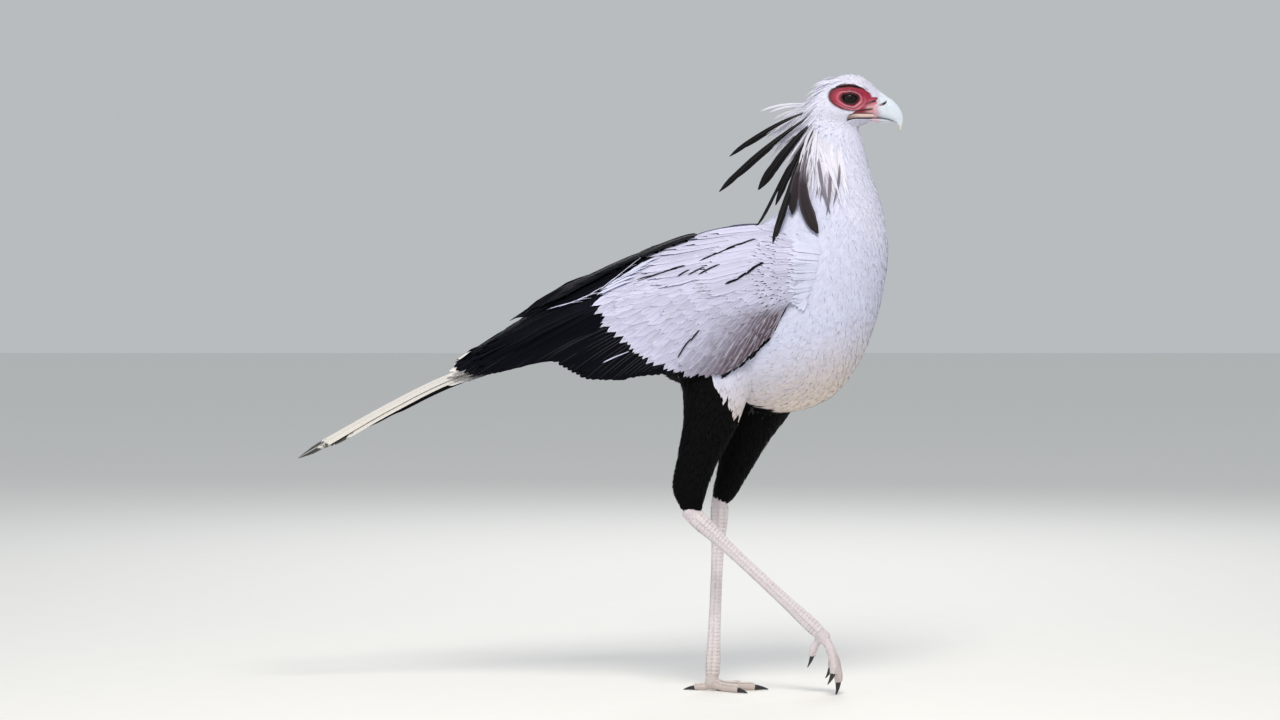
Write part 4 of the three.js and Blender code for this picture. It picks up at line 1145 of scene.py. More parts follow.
@dataclass
class Flesh:
    """The skin under the feathers, with the bare face, its lids, folds and mouth worked into it."""

    voxel: float = 3.6
    opening: tuple[float, float] = (13.2, 8.6)
    hooded: float = 0.84  # the upper lid's height as a share of the lower lid's
    patch: tuple[float, float] = (40.5, 23.5)
    patch_centre: tuple[float, float] = (448.0, 1068.6)
    mouth_height: float = 1032.6
    mouth_start: float = 440.0

    def build(self) -> bpy.types.Object:
        """Build the skin and shape its face."""
        bodies = [
            loft_object("trunk", Loft(TRUNK).grid(110, 72, self.depth)),
            loft_object("head", Loft(HEAD).grid(80, 64, -1.3)),
            loft_object("right_thigh", Loft(RIGHT_THIGH).grid(50, 40, -4.5)),
            loft_object("left_thigh", Loft(LEFT_THIGH).grid(50, 40, -4.5)),
        ]
        skin = fused("skin", bodies, self.voxel, 6)
        self.refine(skin)
        move_points(skin, self.shaped(mesh_points(skin)))
        points = mesh_points(skin)
        # The fold mask carries painted shade for the face's creases, and the glow mask its painted highlights.
        shares = {"Bare": self.bare, "FoldShade": self.folds, "Black": self.black, "Glow": self.glow, "Lips": self.lips}
        for name, share in shares.items():
            add_attribute(skin, name, share(points))
        face_outwards(skin)
        skin.data.polygons.foreach_set("use_smooth", np.ones(len(skin.data.polygons), bool))
        skin.data.materials.clear()
        skin.data.materials.append(SkinFinish().make())
        return skin

    def depth(self, t: Array) -> Array:
        """How far the skin lies inside the trunk's outline, which leaves room for the feathers."""
        return -np.interp(t, [0, 0.2, 0.4, 0.7, 1], [1.6, 1.8, 2.4, 3.0, 3.2])

    def lid_sides(self, angle: Array) -> tuple[Array, Array]:
        """How far above the eye and how far below it an angle about it points, each from 0 to 1."""
        return np.clip(np.sin(angle + 0.3), 0, 1), np.clip(-np.sin(angle - 0.2), 0, 1)

    def bare(self, points: Array) -> Array:
        """How bare each place is, from 0 in the feathers to 1 on the face."""
        x, z = points[..., 0] - self.patch_centre[0], points[..., 2] - self.patch_centre[1]
        z = z + 0.08 * x
        around = np.hypot(x / self.patch[0], z / (self.patch[1] * np.where(z > 0, 1.1, 1.0)))
        lore = np.hypot((points[..., 0] - 492) / 18, (points[..., 2] - 1061) / 9.5)
        ragged = 0.02 * np.sin(points[..., 0] * 0.9) * np.sin(points[..., 2] * 1.3)
        patch = 1 - smoothstep(0.93, 1.05, np.minimum(around, lore) + ragged)
        gap = points[..., 2] - self.mouth(points[..., 0])
        top = np.interp(points[..., 0], [440, 448, 475, 505], [3.0, 10.0, 17.0, 26.0])
        gape = smoothstep(-1.8, -0.9, gap) * (1 - smoothstep(top, top + 1.2, gap))
        gape = gape * smoothstep(self.mouth_start, self.mouth_start + 4, points[..., 0])
        return np.maximum(patch, gape) * (np.abs(points[..., 1]) > 9)

    def black(self, points: Array) -> Array:
        """Where the skin lies under black thigh feathers."""
        return smoothstep(0.0, 1.0, (560 - points[..., 2]) / 20.0 + (250 - points[..., 0]) / 200.0)

    def mouth(self, x: Array) -> Array:
        """The height of the mouth's line along the head."""
        return self.mouth_height - 0.045 * np.maximum(459 - x, 0) ** 1.6

    def around_eye(self, points: Array) -> Array:
        """How far a place is from the eye, where 1 is the edge of its opening."""
        x, z = points[..., 0] - EYE[0], points[..., 2] - EYE[2]
        tall = self.opening[1] * np.where(z > 0, self.hooded, 1.0)
        e = np.hypot(x / self.opening[0], (z + 0.04 * x) / tall)
        angle = np.arctan2(z, x)
        wave = 0.05 * np.sin(2 * angle + 0.6) + 0.04 * np.sin(3 * angle + 2.0) + 0.02 * np.sin(7 * angle)
        return e * (1 + wave * smoothstep(1.1, 1.8, e))

    def refine(self, skin: bpy.types.Object) -> None:
        """Divide the face's mesh finely and round it."""
        work = bmesh.new()
        work.from_mesh(skin.data)
        points = np.array([v.co[:] for v in work.verts]) / MM
        x, z = points[:, 0] - self.patch_centre[0], points[:, 2] - self.patch_centre[1]
        near = np.hypot(x / (self.patch[0] + 9), z / (self.patch[1] + 9)) < 1
        mouth = (np.abs(points[:, 2] - self.mouth_height - 4) < 13) & (points[:, 0] > self.mouth_start - 6)
        chosen = (near | mouth) & (np.abs(points[:, 1]) > 8) & (points[:, 0] < 508)
        for vert, inside in zip(work.verts, chosen):
            vert.tag = bool(inside)
        edges = [e for e in work.edges if e.verts[0].tag and e.verts[1].tag]
        bmesh.ops.subdivide_edges(work, edges=edges, cuts=3, use_grid_fill=True, smooth=0.0)
        fresh = np.array([v.co[:] for v in work.verts]) / MM
        soft = (fresh[:, 0] > 400) & (fresh[:, 2] > 1022) & (fresh[:, 2] < 1100)
        for _ in range(4):
            bmesh.ops.smooth_vert(
                work,
                verts=[v for v, inside in zip(work.verts, soft) if inside],
                factor=0.5,
                use_axis_x=True,
                use_axis_y=True,
                use_axis_z=True,
            )
        work.to_mesh(skin.data)
        work.free()

    def shaped(self, points: Array) -> Array:
        """Move the face's points out and in to form lids, brow, folds and mouth."""
        out = points.copy()
        x, z = points[:, 0] - EYE[0], points[:, 2] - EYE[2]
        side = np.sign(points[:, 1])
        reach = np.abs(points[:, 1])
        face = (np.abs(x) < 70) & (np.abs(z) < 45) & (reach > 8)
        e = self.around_eye(points)
        angle = np.arctan2(z, x)
        bulge = EYE[1] + np.sqrt(np.maximum(15.9**2 - x**2 - z**2, 4.0)) + 0.5
        lid = np.maximum(bulge, reach - 2.2)
        near_lid = 1 - smoothstep(1.05, 1.9, e)
        y = reach * (1 - near_lid) + lid * near_lid
        y = y + 1.1 * bell(e - 1.14, 0.13)
        above, below = self.lid_sides(angle)
        y = y - 1.2 * bell(e - 1.42, 0.09) * (0.25 + 0.75 * above)
        y = y + 0.9 * bell(e - 1.62, 0.10) * (0.3 + above + below) - 1.1 * bell(e - 1.88, 0.10) * (above + below)
        wrinkle = np.sin(e * 17 + 1.5 * np.sin(3 * angle)) * smoothstep(1.9, 2.1, e) * (1 - smoothstep(2.7, 3.3, e))
        y = y + 0.34 * wrinkle
        brow_line = z - self.brow(x)
        window = smoothstep(-30, -16, x) * (1 - smoothstep(26, 40, x))
        y = y + window * (3.0 * bell(brow_line - 3.0, 3.6) - 1.8 * bell(brow_line + 1.8, 1.7))
        mouth_gap = points[:, 2] - self.mouth(points[:, 0])
        open_mouth = smoothstep(self.mouth_start, self.mouth_start + 9, points[:, 0])
        lips = 0.9 * bell(mouth_gap - 4.0, 2.4) + 0.5 * bell(mouth_gap + 2.6, 1.5) - 0.9 * bell(mouth_gap - 8.2, 1.2)
        y = y + open_mouth * (lips - 2.3 * bell(mouth_gap, 1.2))
        lore = bell(points[:, 0] - 496, 13) * bell(points[:, 2] - 1062 - 0.3 * (points[:, 0] - 488), 1.7)
        y = y - 1.1 * lore
        ball = EYE[1] + np.sqrt(np.maximum(EYE_RADIUS**2 - x**2 - z**2, 0.0))
        inside = 1 - smoothstep(0.90, 1.0, e)
        y = y * (1 - inside) + (ball - 3.0) * inside
        out[face, 1] = (side * y)[face]
        return out

    def folds(self, points: Array) -> Array:
        """How dark a place of the face is painted: painted shade in its creases, under the brow, under the feathers
        at the patch's upper edge and along the mouth, and partly the deeper red of the skin round the eye's opening.
        """
        px, pz = points[..., 0], points[..., 2]
        x, z = px - EYE[0], pz - EYE[2]
        e = self.around_eye(points)
        rim = 1.0 * (1 - smoothstep(1.12, 1.42, e))
        above, below = self.lid_sides(np.arctan2(z, x))
        crease = 0.5 * bell(e - 1.44, 0.08) * above + 0.5 * bell(e - 1.88, 0.09) * (0.6 * above + below)
        window = smoothstep(-40, -28, x) * (1 - smoothstep(34, 46, x))
        brow = 1.0 * bell(z - self.brow(x), 2.9) * window
        lore = 1.0 * bell(px - 496, 17) * bell(pz - 1062 - 0.3 * (px - 488), 2.0)
        gap = pz - self.mouth(px)
        ahead = smoothstep(444, 454, px)
        mouth = np.maximum(bell(gap, 1.5), 0.75 * bell(gap - 8.4, 1.0) * ahead * (1 - smoothstep(486, 498, px)))
        around = np.hypot((px - self.patch_centre[0]) / self.patch[0], (z + 0.08 * x) / self.patch[1])
        border = 0.62 * smoothstep(0.7, 0.98, around) * smoothstep(24, -8, x)
        under = 0.8 * bell(pz - 1047 - 0.10 * (px - 470), 1.7) * smoothstep(432, 446, px)
        under = under * (1 - smoothstep(484, 496, px))
        return np.clip(1.3 * np.maximum.reduce([rim, crease, brow, lore, mouth, border, under]), 0, 1)

    def lips(self, points: Array) -> Array:
        """Where the skin is the paler flesh beside the mouth."""
        gap = points[..., 2] - self.mouth(points[..., 0])
        band = smoothstep(-3, -1, gap) * (1 - smoothstep(7.5, 10.0, gap))
        fore = 0.45 * smoothstep(468, 486, points[..., 0]) * smoothstep(5, 9, gap) * (1 - smoothstep(20, 27, gap))
        return smoothstep(self.mouth_start, self.mouth_start + 5, points[..., 0]) * np.maximum(band, fore)

    def brow(self, x: Array) -> Array:
        """The height over the eye of the brow's lower edge, from behind the eye to the lore."""
        return np.interp(x, [-41, -34, -23, 0, 23, 33, 42], [7.5, 15.0, 20.5, 22.6, 19.6, 14.0, 7.5])

    def glow(self, points: Array) -> Array:
        """How pale a place of the face is: the tops of the folds catch the light."""
        e = self.around_eye(points)
        x, z = points[..., 0] - EYE[0], points[..., 2] - EYE[2]
        above, below = self.lid_sides(np.arctan2(z, x))
        ridge = 0.9 * bell(e - 1.68, 0.17) * (0.25 + 0.75 * np.maximum(above, below))
        outer = 0.6 * bell(e - 2.2, 0.2) * below
        return np.clip(ridge + outer + 0.5 * smoothstep(26, 44, x) * smoothstep(2, -8, z), 0, 1)


@dataclass(frozen=True)
class Growth:
    """How one kind of small feather grows along a body, each row being place, length, half width, spacing, depth."""

    rows: tuple[tuple[float, float, float, float, float], ...]

    def at(self, t: Array) -> tuple[Array, Array, Array, Array]:
        """Read length, half width, spacing and depth at places along the body."""
        table = np.array(self.rows)
        length, half, spacing, depth = (np.interp(t, table[:, 0], table[:, k]) for k in range(1, 5))
        return length, half, spacing, depth


@dataclass
class Coat:
    """All the small feathers of head, neck, body and thighs, laid over the skin as overlapping vanes."""

    flesh: Flesh
    surface: Surface
    lie: Lie
    head: Growth = Growth(
        ((0.0, 19, 2.2, 3.0, 1.4), (0.35, 13, 1.8, 2.6, 1.1), (0.7, 9, 1.4, 2.2, 0.9), (1.0, 6, 1.2, 1.9, 0.8))
    )
    trunk: Growth = Growth(
        (
            (0.0, 26, 2.3, 3.8, 1.1),
            (0.12, 33, 2.5, 4.0, 1.1),
            (0.26, 38, 3.3, 4.8, 1.1),
            (0.38, 40, 4.3, 5.4, 1.1),
            (0.55, 42, 5.2, 6.2, 1.2),
            (0.75, 42, 6.0, 6.8, 1.6),
            (1.0, 46, 6.0, 7.0, 2.4),
        )
    )
    thigh: Growth = Growth(
        ((0.0, 32, 5.5, 7.0, 4.0), (0.5, 26, 4.2, 5.4, 3.8), (0.85, 20, 3.0, 4.0, 3.2), (1.0, 14, 2.2, 3.0, 2.4))
    )

    def build(self) -> list[bpy.types.Object]:
        """Scatter the feathers and make one piece for each kind."""
        rng = np.random.default_rng(SEED)
        centres = self.surface.centres
        _, kinds, forms = self.lie.look_up(centres)
        growth = self.grow(kinds, forms[:, 0])
        spacing = growth[2] * (1 - 0.25 * self.near_thigh(centres, kinds))
        spacing[self.barren(centres, kinds)] = BARREN
        picks = self.surface.scatter(spacing, rng)
        roots = picks[:, :3]
        ways, kinds, forms = self.lie.look_up(roots)
        length, half, _, depth = self.grow(kinds, forms[:, 0])
        beside, covered = self.near_thigh(roots, kinds), self.near_trunk(roots, kinds)
        length = length * (1 - 0.25 * beside)
        depth = depth * (1 + 0.5 * beside - 0.75 * covered)
        ways = self.combed(roots, ways, kinds, rng)
        places, loose = self.unwrap(kinds, forms), self.looseness(roots, kinds, forms, beside)
        pieces = []
        for name, chosen, shape, finish, soft in self.kinds(roots, kinds, forms):
            if not chosen.any():
                continue
            plumage = Plumage()
            columns = (column[chosen] for column in (roots, ways, length, half, depth, places, loose))
            self.lay(plumage, shape, *columns, soft, rng)
            pieces.append(plumage.make(name, finish))
            log.info("%s: %d feathers", name, int(chosen.sum()))
        return pieces

    def grow(self, kinds: Array, t: Array) -> tuple[Array, Array, Array, Array]:
        """Read how feathers grow at places of mixed regions."""
        tables = {Region.HEAD: self.head, Region.TRUNK: self.trunk}
        sizes = [np.zeros(len(t)) for _ in range(4)]
        for region in Region:
            here = kinds == region.value
            for size, values in zip(sizes, tables.get(region, self.thigh).at(t[here])):
                size[here] = values
        return sizes[0], sizes[1], sizes[2], sizes[3]

    def near_thigh(self, points: Array, kinds: Array) -> Array:
        """How near a place on the trunk is to where a thigh comes out of it."""
        gaps = np.array([self.lie.thighs.find(Vector(p))[2] for p in points])
        return (1 - smoothstep(12, 42, gaps)) * (kinds == Region.TRUNK.value)

    def near_trunk(self, points: Array, kinds: Array) -> Array:
        """How near a place on the front of a thigh is to the belly's feathers, which lie over it."""
        gaps = np.array([self.lie.white.find(Vector(p))[2] for p in points])
        return (1 - smoothstep(10, 34, gaps)) * (kinds >= Region.RIGHT_THIGH.value)

    def barren(self, points: Array, kinds: Array) -> Array:
        """Find where nothing grows: the bare face, inside the bill, and under the wings."""
        bare = self.flesh.bare(points) > 0.5
        front = np.interp(points[:, 2], [1024, 1050, 1060, 1068, 1078], [489, 491, 495, 501, 508])
        in_bill = (points[:, 0] > front) & (points[:, 2] > 1020)
        reach = wing_skin(points[:, 0], points[:, 2])
        top, bottom, _, _ = wing_line(points[:, 0])
        under = (points[:, 0] > -60) & (points[:, 0] < 322) & (np.abs(points[:, 1]) < reach + 4)
        under &= (points[:, 2] > bottom + 26) & (points[:, 2] < top - 16) & (kinds == Region.TRUNK.value)
        return bare | in_bill | under

    def combed(self, roots: Array, ways: Array, kinds: Array, rng: np.random.Generator) -> Array:
        """Turn the lie a little: the crown's feathers sweep down behind the cheek, and none lie quite alike."""
        head = (kinds == Region.HEAD.value)[:, None]
        droop = np.array([0.0, 0.0, -0.34]) * smoothstep(1092, 1040, roots[:, 2])[:, None]
        ways = np.where(head, ways + droop, ways)
        return unit(ways + rng.normal(0, 0.07, ways.shape))

    def kinds(
        self, roots: Array, kinds: Array, forms: Array
    ) -> list[tuple[str, Array, VaneShape, bpy.types.Material, float]]:
        """Sort the feathers into pieces by place and colour."""
        x, z = roots[:, 0], roots[:, 2]
        upper = np.abs((forms[:, 1] + math.pi) % (2 * math.pi) - math.pi) < 1.25
        head = kinds == Region.HEAD.value
        thigh = (kinds == Region.RIGHT_THIGH.value) | (kinds == Region.LEFT_THIGH.value)
        trunk = kinds == Region.TRUNK.value
        edge = 150 + 16 * np.sin(roots[:, 1] * 0.21) + 9 * np.sin(roots[:, 1] * 0.57 + 1)
        mantle = trunk & upper & (x < 352) & (x > edge) & (z > 740)
        rump = trunk & upper & (x <= edge) & (x > 30)
        bib = (kinds == Region.RIGHT_THIGH.value) & (z > 499) & (x > np.interp(z, *RIGHT_EDGE))
        black = (thigh & ~bib) | (trunk & behind_thigh(roots))
        white = (trunk & ~mantle & ~rump & ~black) | bib
        neck = white & (forms[:, 0] < 0.30) & ~bib
        breast = white & ~neck
        return [
            ("feathers_head", head, SMALL_VANE, WHITE_HEAD.make(), 0.85),
            ("feathers_neck", neck, BODY_VANE, WHITE_NECK.make(), 0.85),
            ("feathers_right_breast", breast & (roots[:, 1] < 0), BODY_VANE, WHITE_BODY.make(), 0.85),
            ("feathers_left_breast", breast & (roots[:, 1] >= 0), BODY_VANE, WHITE_BODY.make(), 0.85),
            ("feathers_mantle", mantle, BODY_VANE, WHITE_BODY.make(), 0.85),
            ("feathers_back", rump, BODY_VANE, BLACK.make(), 0.3),
            ("feathers_thighs", black, BODY_VANE, THIGH_BLACK.make(), 0.3),
        ]

    def unwrap(self, kinds: Array, forms: Array) -> Array:
        """Place each root on an unwrap of the body's own form."""
        across = 0.02 + 0.96 * (forms[:, 1] / (2 * math.pi)) % 1.0
        base = np.choose(kinds, [0.66, 0.02, 0.02, 0.5])
        tall = np.choose(kinds, [0.3, 0.62, 0.46, 0.46])
        return np.stack([across, base + tall * forms[:, 0]], -1)

    def looseness(self, roots: Array, kinds: Array, forms: Array, beside: Array) -> Array:
        """How far feathers stand off: a little on the nape, the vent and the backs of the thighs."""
        thigh = (kinds == Region.RIGHT_THIGH.value) | (kinds == Region.LEFT_THIGH.value)
        behind = np.cos(forms[:, 1]) > 0.5
        nape = (kinds == Region.HEAD.value) & (roots[:, 0] < 392) & (roots[:, 2] > 1030)
        return np.where(thigh & behind, 0.34, np.where(nape, 0.45, 0.06 + 0.5 * beside))

    def lay(
        self, plumage: Plumage, shape: VaneShape, roots: Array, ways: Array, length: Array, half: Array,
        depth: Array, places: Array, loose: Array, soft: float, rng: np.random.Generator,
    ) -> None:
        """Lay feathers along the skin, each rising from its root so that it covers those behind it.

        Args:
            plumage: Where they are gathered.
            shape: Their outline.
            roots: Where they grow.
            ways: Which way they lie.
            length: Their lengths.
            half: Their half widths.
            depth: How far their tips stand off the skin.
            places: Their bake places.
            loose: How little they follow the skin, from 0 to 1.
            soft: How far their shading follows the skin's, from 0 to 1.
            rng: The seeded random source.
        """
        n = len(roots)
        spot, normal = self.surface.nearest(roots)
        ways = unit(ways - (ways * normal).sum(-1, keepdims=True) * normal)
        size = length * (1 + 0.16 * (rng.random(n) * 2 - 1))
        wide = half * (1 + 0.14 * (rng.random(n) * 2 - 1))
        stops = np.asarray(shape.stops)
        lateral = np.cross(normal, ways)
        bend = rng.normal(0, 0.07, n)
        line = (
            spot[:, None]
            + ways[:, None] * (size[:, None] * stops)[..., None]
            + lateral[:, None] * (bend[:, None] * size[:, None] * stops**2)[..., None]
        )
        lying, outward = self.surface.nearest(line)
        clear = self.flesh.bare(lying[:, -2]) < 0.8
        lying, outward, line, normal, depth = lying[clear], outward[clear], line[clear], normal[clear], depth[clear]
        loose, places, wide, n = loose[clear], places[clear], wide[clear], int(clear.sum())
        slack = loose[:, None, None] * stops[None, :, None]
        line = lying * (1 - slack) + line * slack
        outward = unit(outward * (1 - slack * 0.5) + normal[:, None] * slack * 0.5)
        lift = 0.25 + depth * (0.9 + 0.2 * rng.random(n))
        line = line + outward * (lift[:, None] * stops ** 1.15)[..., None]
        tangent = unit(np.gradient(line, axis=1))
        sides = unit(np.cross(outward, tangent))
        plumage.add(
            shape, line, sides, unit(np.cross(tangent, sides)), wide,
            roots=places, rng=rng, ragged=0.14, outward=outward, soft=soft,
        )


WHITE_HEAD = FeatherFinish(
    "head_down", "#CFCFE2", "#DADAEC", "#E4E4F4", "#E0E0F1", sheen=0.3, barb=0.9, relief=0.15, spread=0.05,
)
WHITE_NECK = FeatherFinish(
    "neck_plumes", "#CACCE3", "#D4D6EC", "#DFE0F4", "#DADCF0", sheen=0.3, barb=1.1, relief=0.2, spread=0.06,
)
# its shade colour is painted shade, warm, on the belly's lower front
WHITE_BODY = FeatherFinish(
    "breast_feathers", "#C6C9E1", "#CFD2EA", "#D9DBF1", "#D6D8EE", sheen=0.3, barb=1.3, relief=0.2, spread=0.05,
    shade="#D9C8BA", shade_from=(0.36, 0.575, 0.08),
)
# its shade colour is painted shade, dark mauve, on the lower front of the folded wing
SILVER = FeatherFinish(
    "silver_coverts", "#9C9BB6", "#C4C4DE", "#D6D6EC", "#D4D4E9", sheen=0.25, barb=1.8, relief=0.3, spread=0.11,
    shade="#53424B", shade_from=(0.225, 0.652, 0.088), shade_lean=1.1, shade_top=0.715, streak=0.25,
)
BLACK = FeatherFinish(
    "black_flight_feathers", "#07070B", "#050509", "#040406", "#0B0B12", roughness=0.45, sheen=0.0, barb=2.0,
    relief=0.5, gloss="#CCD4FF", specular=0.1, spread=0.25,
)
THIGH_BLACK = FeatherFinish(
    "thigh_feathers", "#060507", "#050406", "#040305", "#09080B", roughness=0.62, sheen=0.0, barb=1.4, relief=0.4,
    specular=0.08, spread=0.3,
)
CREST_BLACK = FeatherFinish(
    "crest_plumes", "#8E8B96", "#121015", "#17131A", "#1E1B22", roughness=0.55, sheen=0.0, barb=1.5, relief=0.2,
    specular=0.15, spread=0.25, bands=((0.0, "#8C8994"), (0.12, "#3A3741"), (0.2, "#09080B"), (1.0, "#070608")),
)
CREST_BROWN = FeatherFinish(
    "crest_brown_plumes", "#8E8B96", "#2A232A", "#2A232A", "#5A5059", roughness=0.6, sheen=0.08, barb=1.5,
    relief=0.45, specular=0.2, spread=0.2,
    bands=((0.0, "#A5A2AD"), (0.3, "#8A8490"), (0.52, "#352D34"), (1.0, "#1B1519")),
)
CREST_GREY = FeatherFinish(
    "crest_wisps", "#D0CFDD", "#D9D8E6", "#A9A5B4", "#E8E7F1", barb=0.9, relief=0.12, spread=0.14,
)
CREST_DUSKY = FeatherFinish(
    "crest_dusky_wisps", "#C4C1CE", "#77717D", "#4A434D", "#8A8490", sheen=0.1, barb=0.9, relief=0.12, spread=0.2,
)
TAIL_LONGEST = FeatherFinish(
    "longest_tail_feather", "#CFCCCC", "#E4DFD6", "#100E12", "#E6E2DA", barb=2.0, relief=0.3, spread=0.04, streak=0.4,
    fringed=0.1,
    bands=((0.0, "#D3D0D2"), (0.9, "#EAE4DA"), (0.918, "#131014"), (0.975, "#0F0D10"), (1.0, "#2A2624")),
)
TAIL_SECOND = FeatherFinish(
    "second_tail_feather", "#CFCCCC", "#E4DFD6", "#F1ECE4", "#E6E2DA", barb=2.0, relief=0.3, spread=0.04, streak=0.4,
    fringed=0.1,
    bands=((0.0, "#D3D0D2"), (0.882, "#ECE7DE"), (0.897, "#131014"), (0.962, "#0F0D10"), (0.975, "#F3EEE6")),
)
TAIL_SHORT = FeatherFinish(
    "outer_tail_feathers", "#C4C3CD", "#D5D4DD", "#ECEAEE", "#E5E4EB", barb=2.0, relief=0.3, spread=0.06,
    bands=((0.0, "#BEBDC8"), (0.55, "#C7C6D0"), (0.66, "#100E12"), (0.82, "#0E0C10"), (0.87, "#F3EEEA")),
)
TAIL_DARK = FeatherFinish(
    "dark_tail_edge", "#17141A", "#0E0C10", "#0C0A0D", "#151217", sheen=0.0, specular=0.15, relief=0.3,
)
QUILL_PALE = HornFinish("pale_quill", "#B9B7C8", "#C2C0D2", "#CBCADA", 0.0, 0.9, roughness=0.5)
QUILL_TAIL = HornFinish("tail_quill", "#C8C5CE", "#D6D4DC", "#E0DFE6", 0.0, 0.9, roughness=0.4)
QUILL_BANDED = HornFinish("banded_quill", "#D8D4D2", "#D8D4D2", "#141115", 0.0, 0.93, roughness=0.4, change=0.02)
QUILL_DARK = HornFinish("dark_quill", "#221F27", "#16141A", "#100F13", 0.0, 0.9, roughness=0.35)
BILL_HORN = HornFinish("bill_horn", "#A3AEC0", "#D3DCE8", "#E2D9A8", 0.10, 1.02, roughness=0.36)
GAPE_HORN = HornFinish("gape_horn", "#D8BFC4", "#C9D0DC", "#D6DCE2", 0.12, 0.93, roughness=0.4)
LASH_BRISTLE = HornFinish("lash_bristle", "#17121A", "#120E14", "#1C171E", 0.0, 0.9)
CLAW_HORN = HornFinish("claw_horn", "#3A3437", "#211D1F", "#131112", 0.1, 0.95, roughness=0.38)


WING_TABLE = np.array(
    [
        [-261, 596, 578, 9, 34],
        [-180, 650, 575, 9, 47],
        [-108, 689, 586, 10, 60],
        [-36, 734, 568, 12, 75],
        [36, 768, 563, 14, 90],
        [108, 795, 566, 17, 103],
        [180, 824, 576, 22, 111],
        [252, 838, 614, 28, 115],
        [306, 838, 668, 38, 115],
        [366, 806, 728, 76, 104],
    ],
    float,
)
WING_DENSE = catmull(WING_TABLE, np.linspace(0, 1, 200))


def wing_line(x: Array) -> tuple[Array, Array, Array, Array]:
    """Read the wing's top, bottom, ridge width and widest width along it."""
    top, bottom, ridge, widest = (np.interp(x, WING_DENSE[:, 0], WING_DENSE[:, k]) for k in range(1, 5))
    return top, bottom, ridge, widest


def wing_skin(x: Array, z: Array) -> Array:
    """How far the folded wing stands from the bird's middle plane at a place in the side view."""
    widest_at, tuck = 0.42, 0.16
    top, bottom, ridge, widest = wing_line(x)
    drop = np.clip((top - z) / (top - bottom), 0, 1.1)
    over = np.sin((math.pi / 2) * np.minimum(drop / widest_at, 1)) ** 0.8
    under = tuck * np.maximum((drop - widest_at) / (1 - widest_at), 0) ** 2
    return ridge + (widest - ridge) * (over - under)


@dataclass(frozen=True)
class WingRow:
    """One row of a wing's feathers, from the back down to the belly, in the side view."""

    name: str
    roots: tuple[tuple[float, float], ...]
    tips: tuple[tuple[float, float], ...]
    count: int
    half: float
    lift: float
    black: bool = False
    tilt: float = 0.6
    depth: float = 9.0
    slope: float = 2.2
    loose: float = 4.0  # how far tips stray from an even row, in millimetres


FLIGHT = WingRow(
    "flight",
    (
        (150, 808), (128, 796), (108, 778), (88, 760), (72, 740), (60, 718), (54, 696), (60, 674), (78, 652),
        (108, 630), (150, 606),
    ),
    (
        (60, 772), (-2, 746), (-62, 712), (-118, 678), (-176, 642), (-230, 608), (-262, 588), (-238, 577),
        (-206, 575), (-170, 583), (-134, 593), (-92, 602), (-58, 586), (-28, 570), (14, 568), (56, 577), (98, 587),
    ),
    62, 17.0, 0.0, True, 1.6, 12.0, 3.4, 0.8,
)
GREATER = WingRow(
    "greater_coverts",
    ((190, 822), (152, 790), (122, 755), (130, 715), (160, 690), (198, 670), (240, 656), (272, 648)),
    ((104, 786), (42, 744), (-3, 702), (11, 661), (54, 621), (108, 589), (160, 573), (214, 577)),
    58, 10.5, 1.8, loose=1.6,
)
MEDIAN = WingRow(
    "median_coverts",
    ((248, 836), (216, 806), (190, 775), (190, 745), (213, 717), (250, 698), (298, 672)),
    ((168, 812), (116, 772), (75, 730), (99, 694), (140, 659), (192, 628), (256, 602)),
    37, 9.0, 2.3,
)
LESSER = WingRow(
    "lesser_coverts",
    ((306, 838), (280, 812), (262, 785), (262, 758), (279, 734), (302, 718), (326, 704)),
    ((230, 830), (190, 795), (160, 755), (175, 722), (208, 692), (254, 662), (290, 638)),
    35, 7.8, 2.7,
)
SHOULDER = WingRow(
    "shoulder",
    ((346, 822), (342, 802), (336, 780), (335, 762), (341, 746), (344, 732)),
    ((288, 834), (262, 803), (238, 770), (246, 740), (276, 712), (304, 670)),
    31, 6.6, 3.1,
)
MARGIN = WingRow(
    "margin",
    ((366, 808), (366, 795), (361, 778), (359, 762), (357, 750), (353, 740)),
    ((316, 820), (306, 800), (298, 776), (300, 752), (314, 728), (330, 704)),
    30, 5.4, 3.2, depth=5.0,
)
# Black feathers along the wing's lower front edge, standing in for the shadow that the wing casts on the breast
# there: painted shadow.
SHADOW_EDGE = WingRow(
    "shadow_edge_row",
    ((335, 706), (320, 688), (290, 655), (252, 626)),
    ((312, 682), (300, 642), (261, 600), (214, 568)),
    18, 6.2, 1.6, True, 0.3, 5.0, 0.5, 2.0,
)
PALE_EDGE = WingRow(
    "pale_edge", ((57, 620), (56, 619)), ((8, 599), (5, 598)), 2, 0.9, 5.5, depth=5.0, slope=0.5, loose=0.4,
)
PALE_LINE = WingRow(
    "pale_line",
    ((90, 786), (44, 750), (4, 718), (-30, 702)),
    ((40, 748), (0, 717), (-44, 698), (-96, 681)),
    7, 1.6, 8.8, depth=4.0, slope=1.0, loose=0.3,
)
PALE_FOLD = WingRow(
    "pale_fold",
    ((116, 784), (90, 764), (66, 742)),
    ((46, 745), (20, 731), (-4, 712)),
    6, 3.6, 7.6, depth=6.0, slope=1.0, loose=0.6,
)
SCAPULARS = WingRow(
    "scapulars",
    ((336, 834), (330, 826), (322, 815), (318, 800), (318, 786)),
    ((196, 824), (142, 800), (92, 770), (76, 744), (112, 728)),
    13, 11.0, 4.4, tilt=1.0,
)
BREAST_COVER = WingRow(
    "breast_cover",
    ((382, 818), (386, 800), (386, 778), (380, 756), (372, 736), (362, 724)),
    ((336, 826), (318, 806), (308, 780), (308, 752), (322, 726), (342, 700)),
    60, 3.8, 3.4, tilt=0.3, depth=2.0, slope=1.0,
)
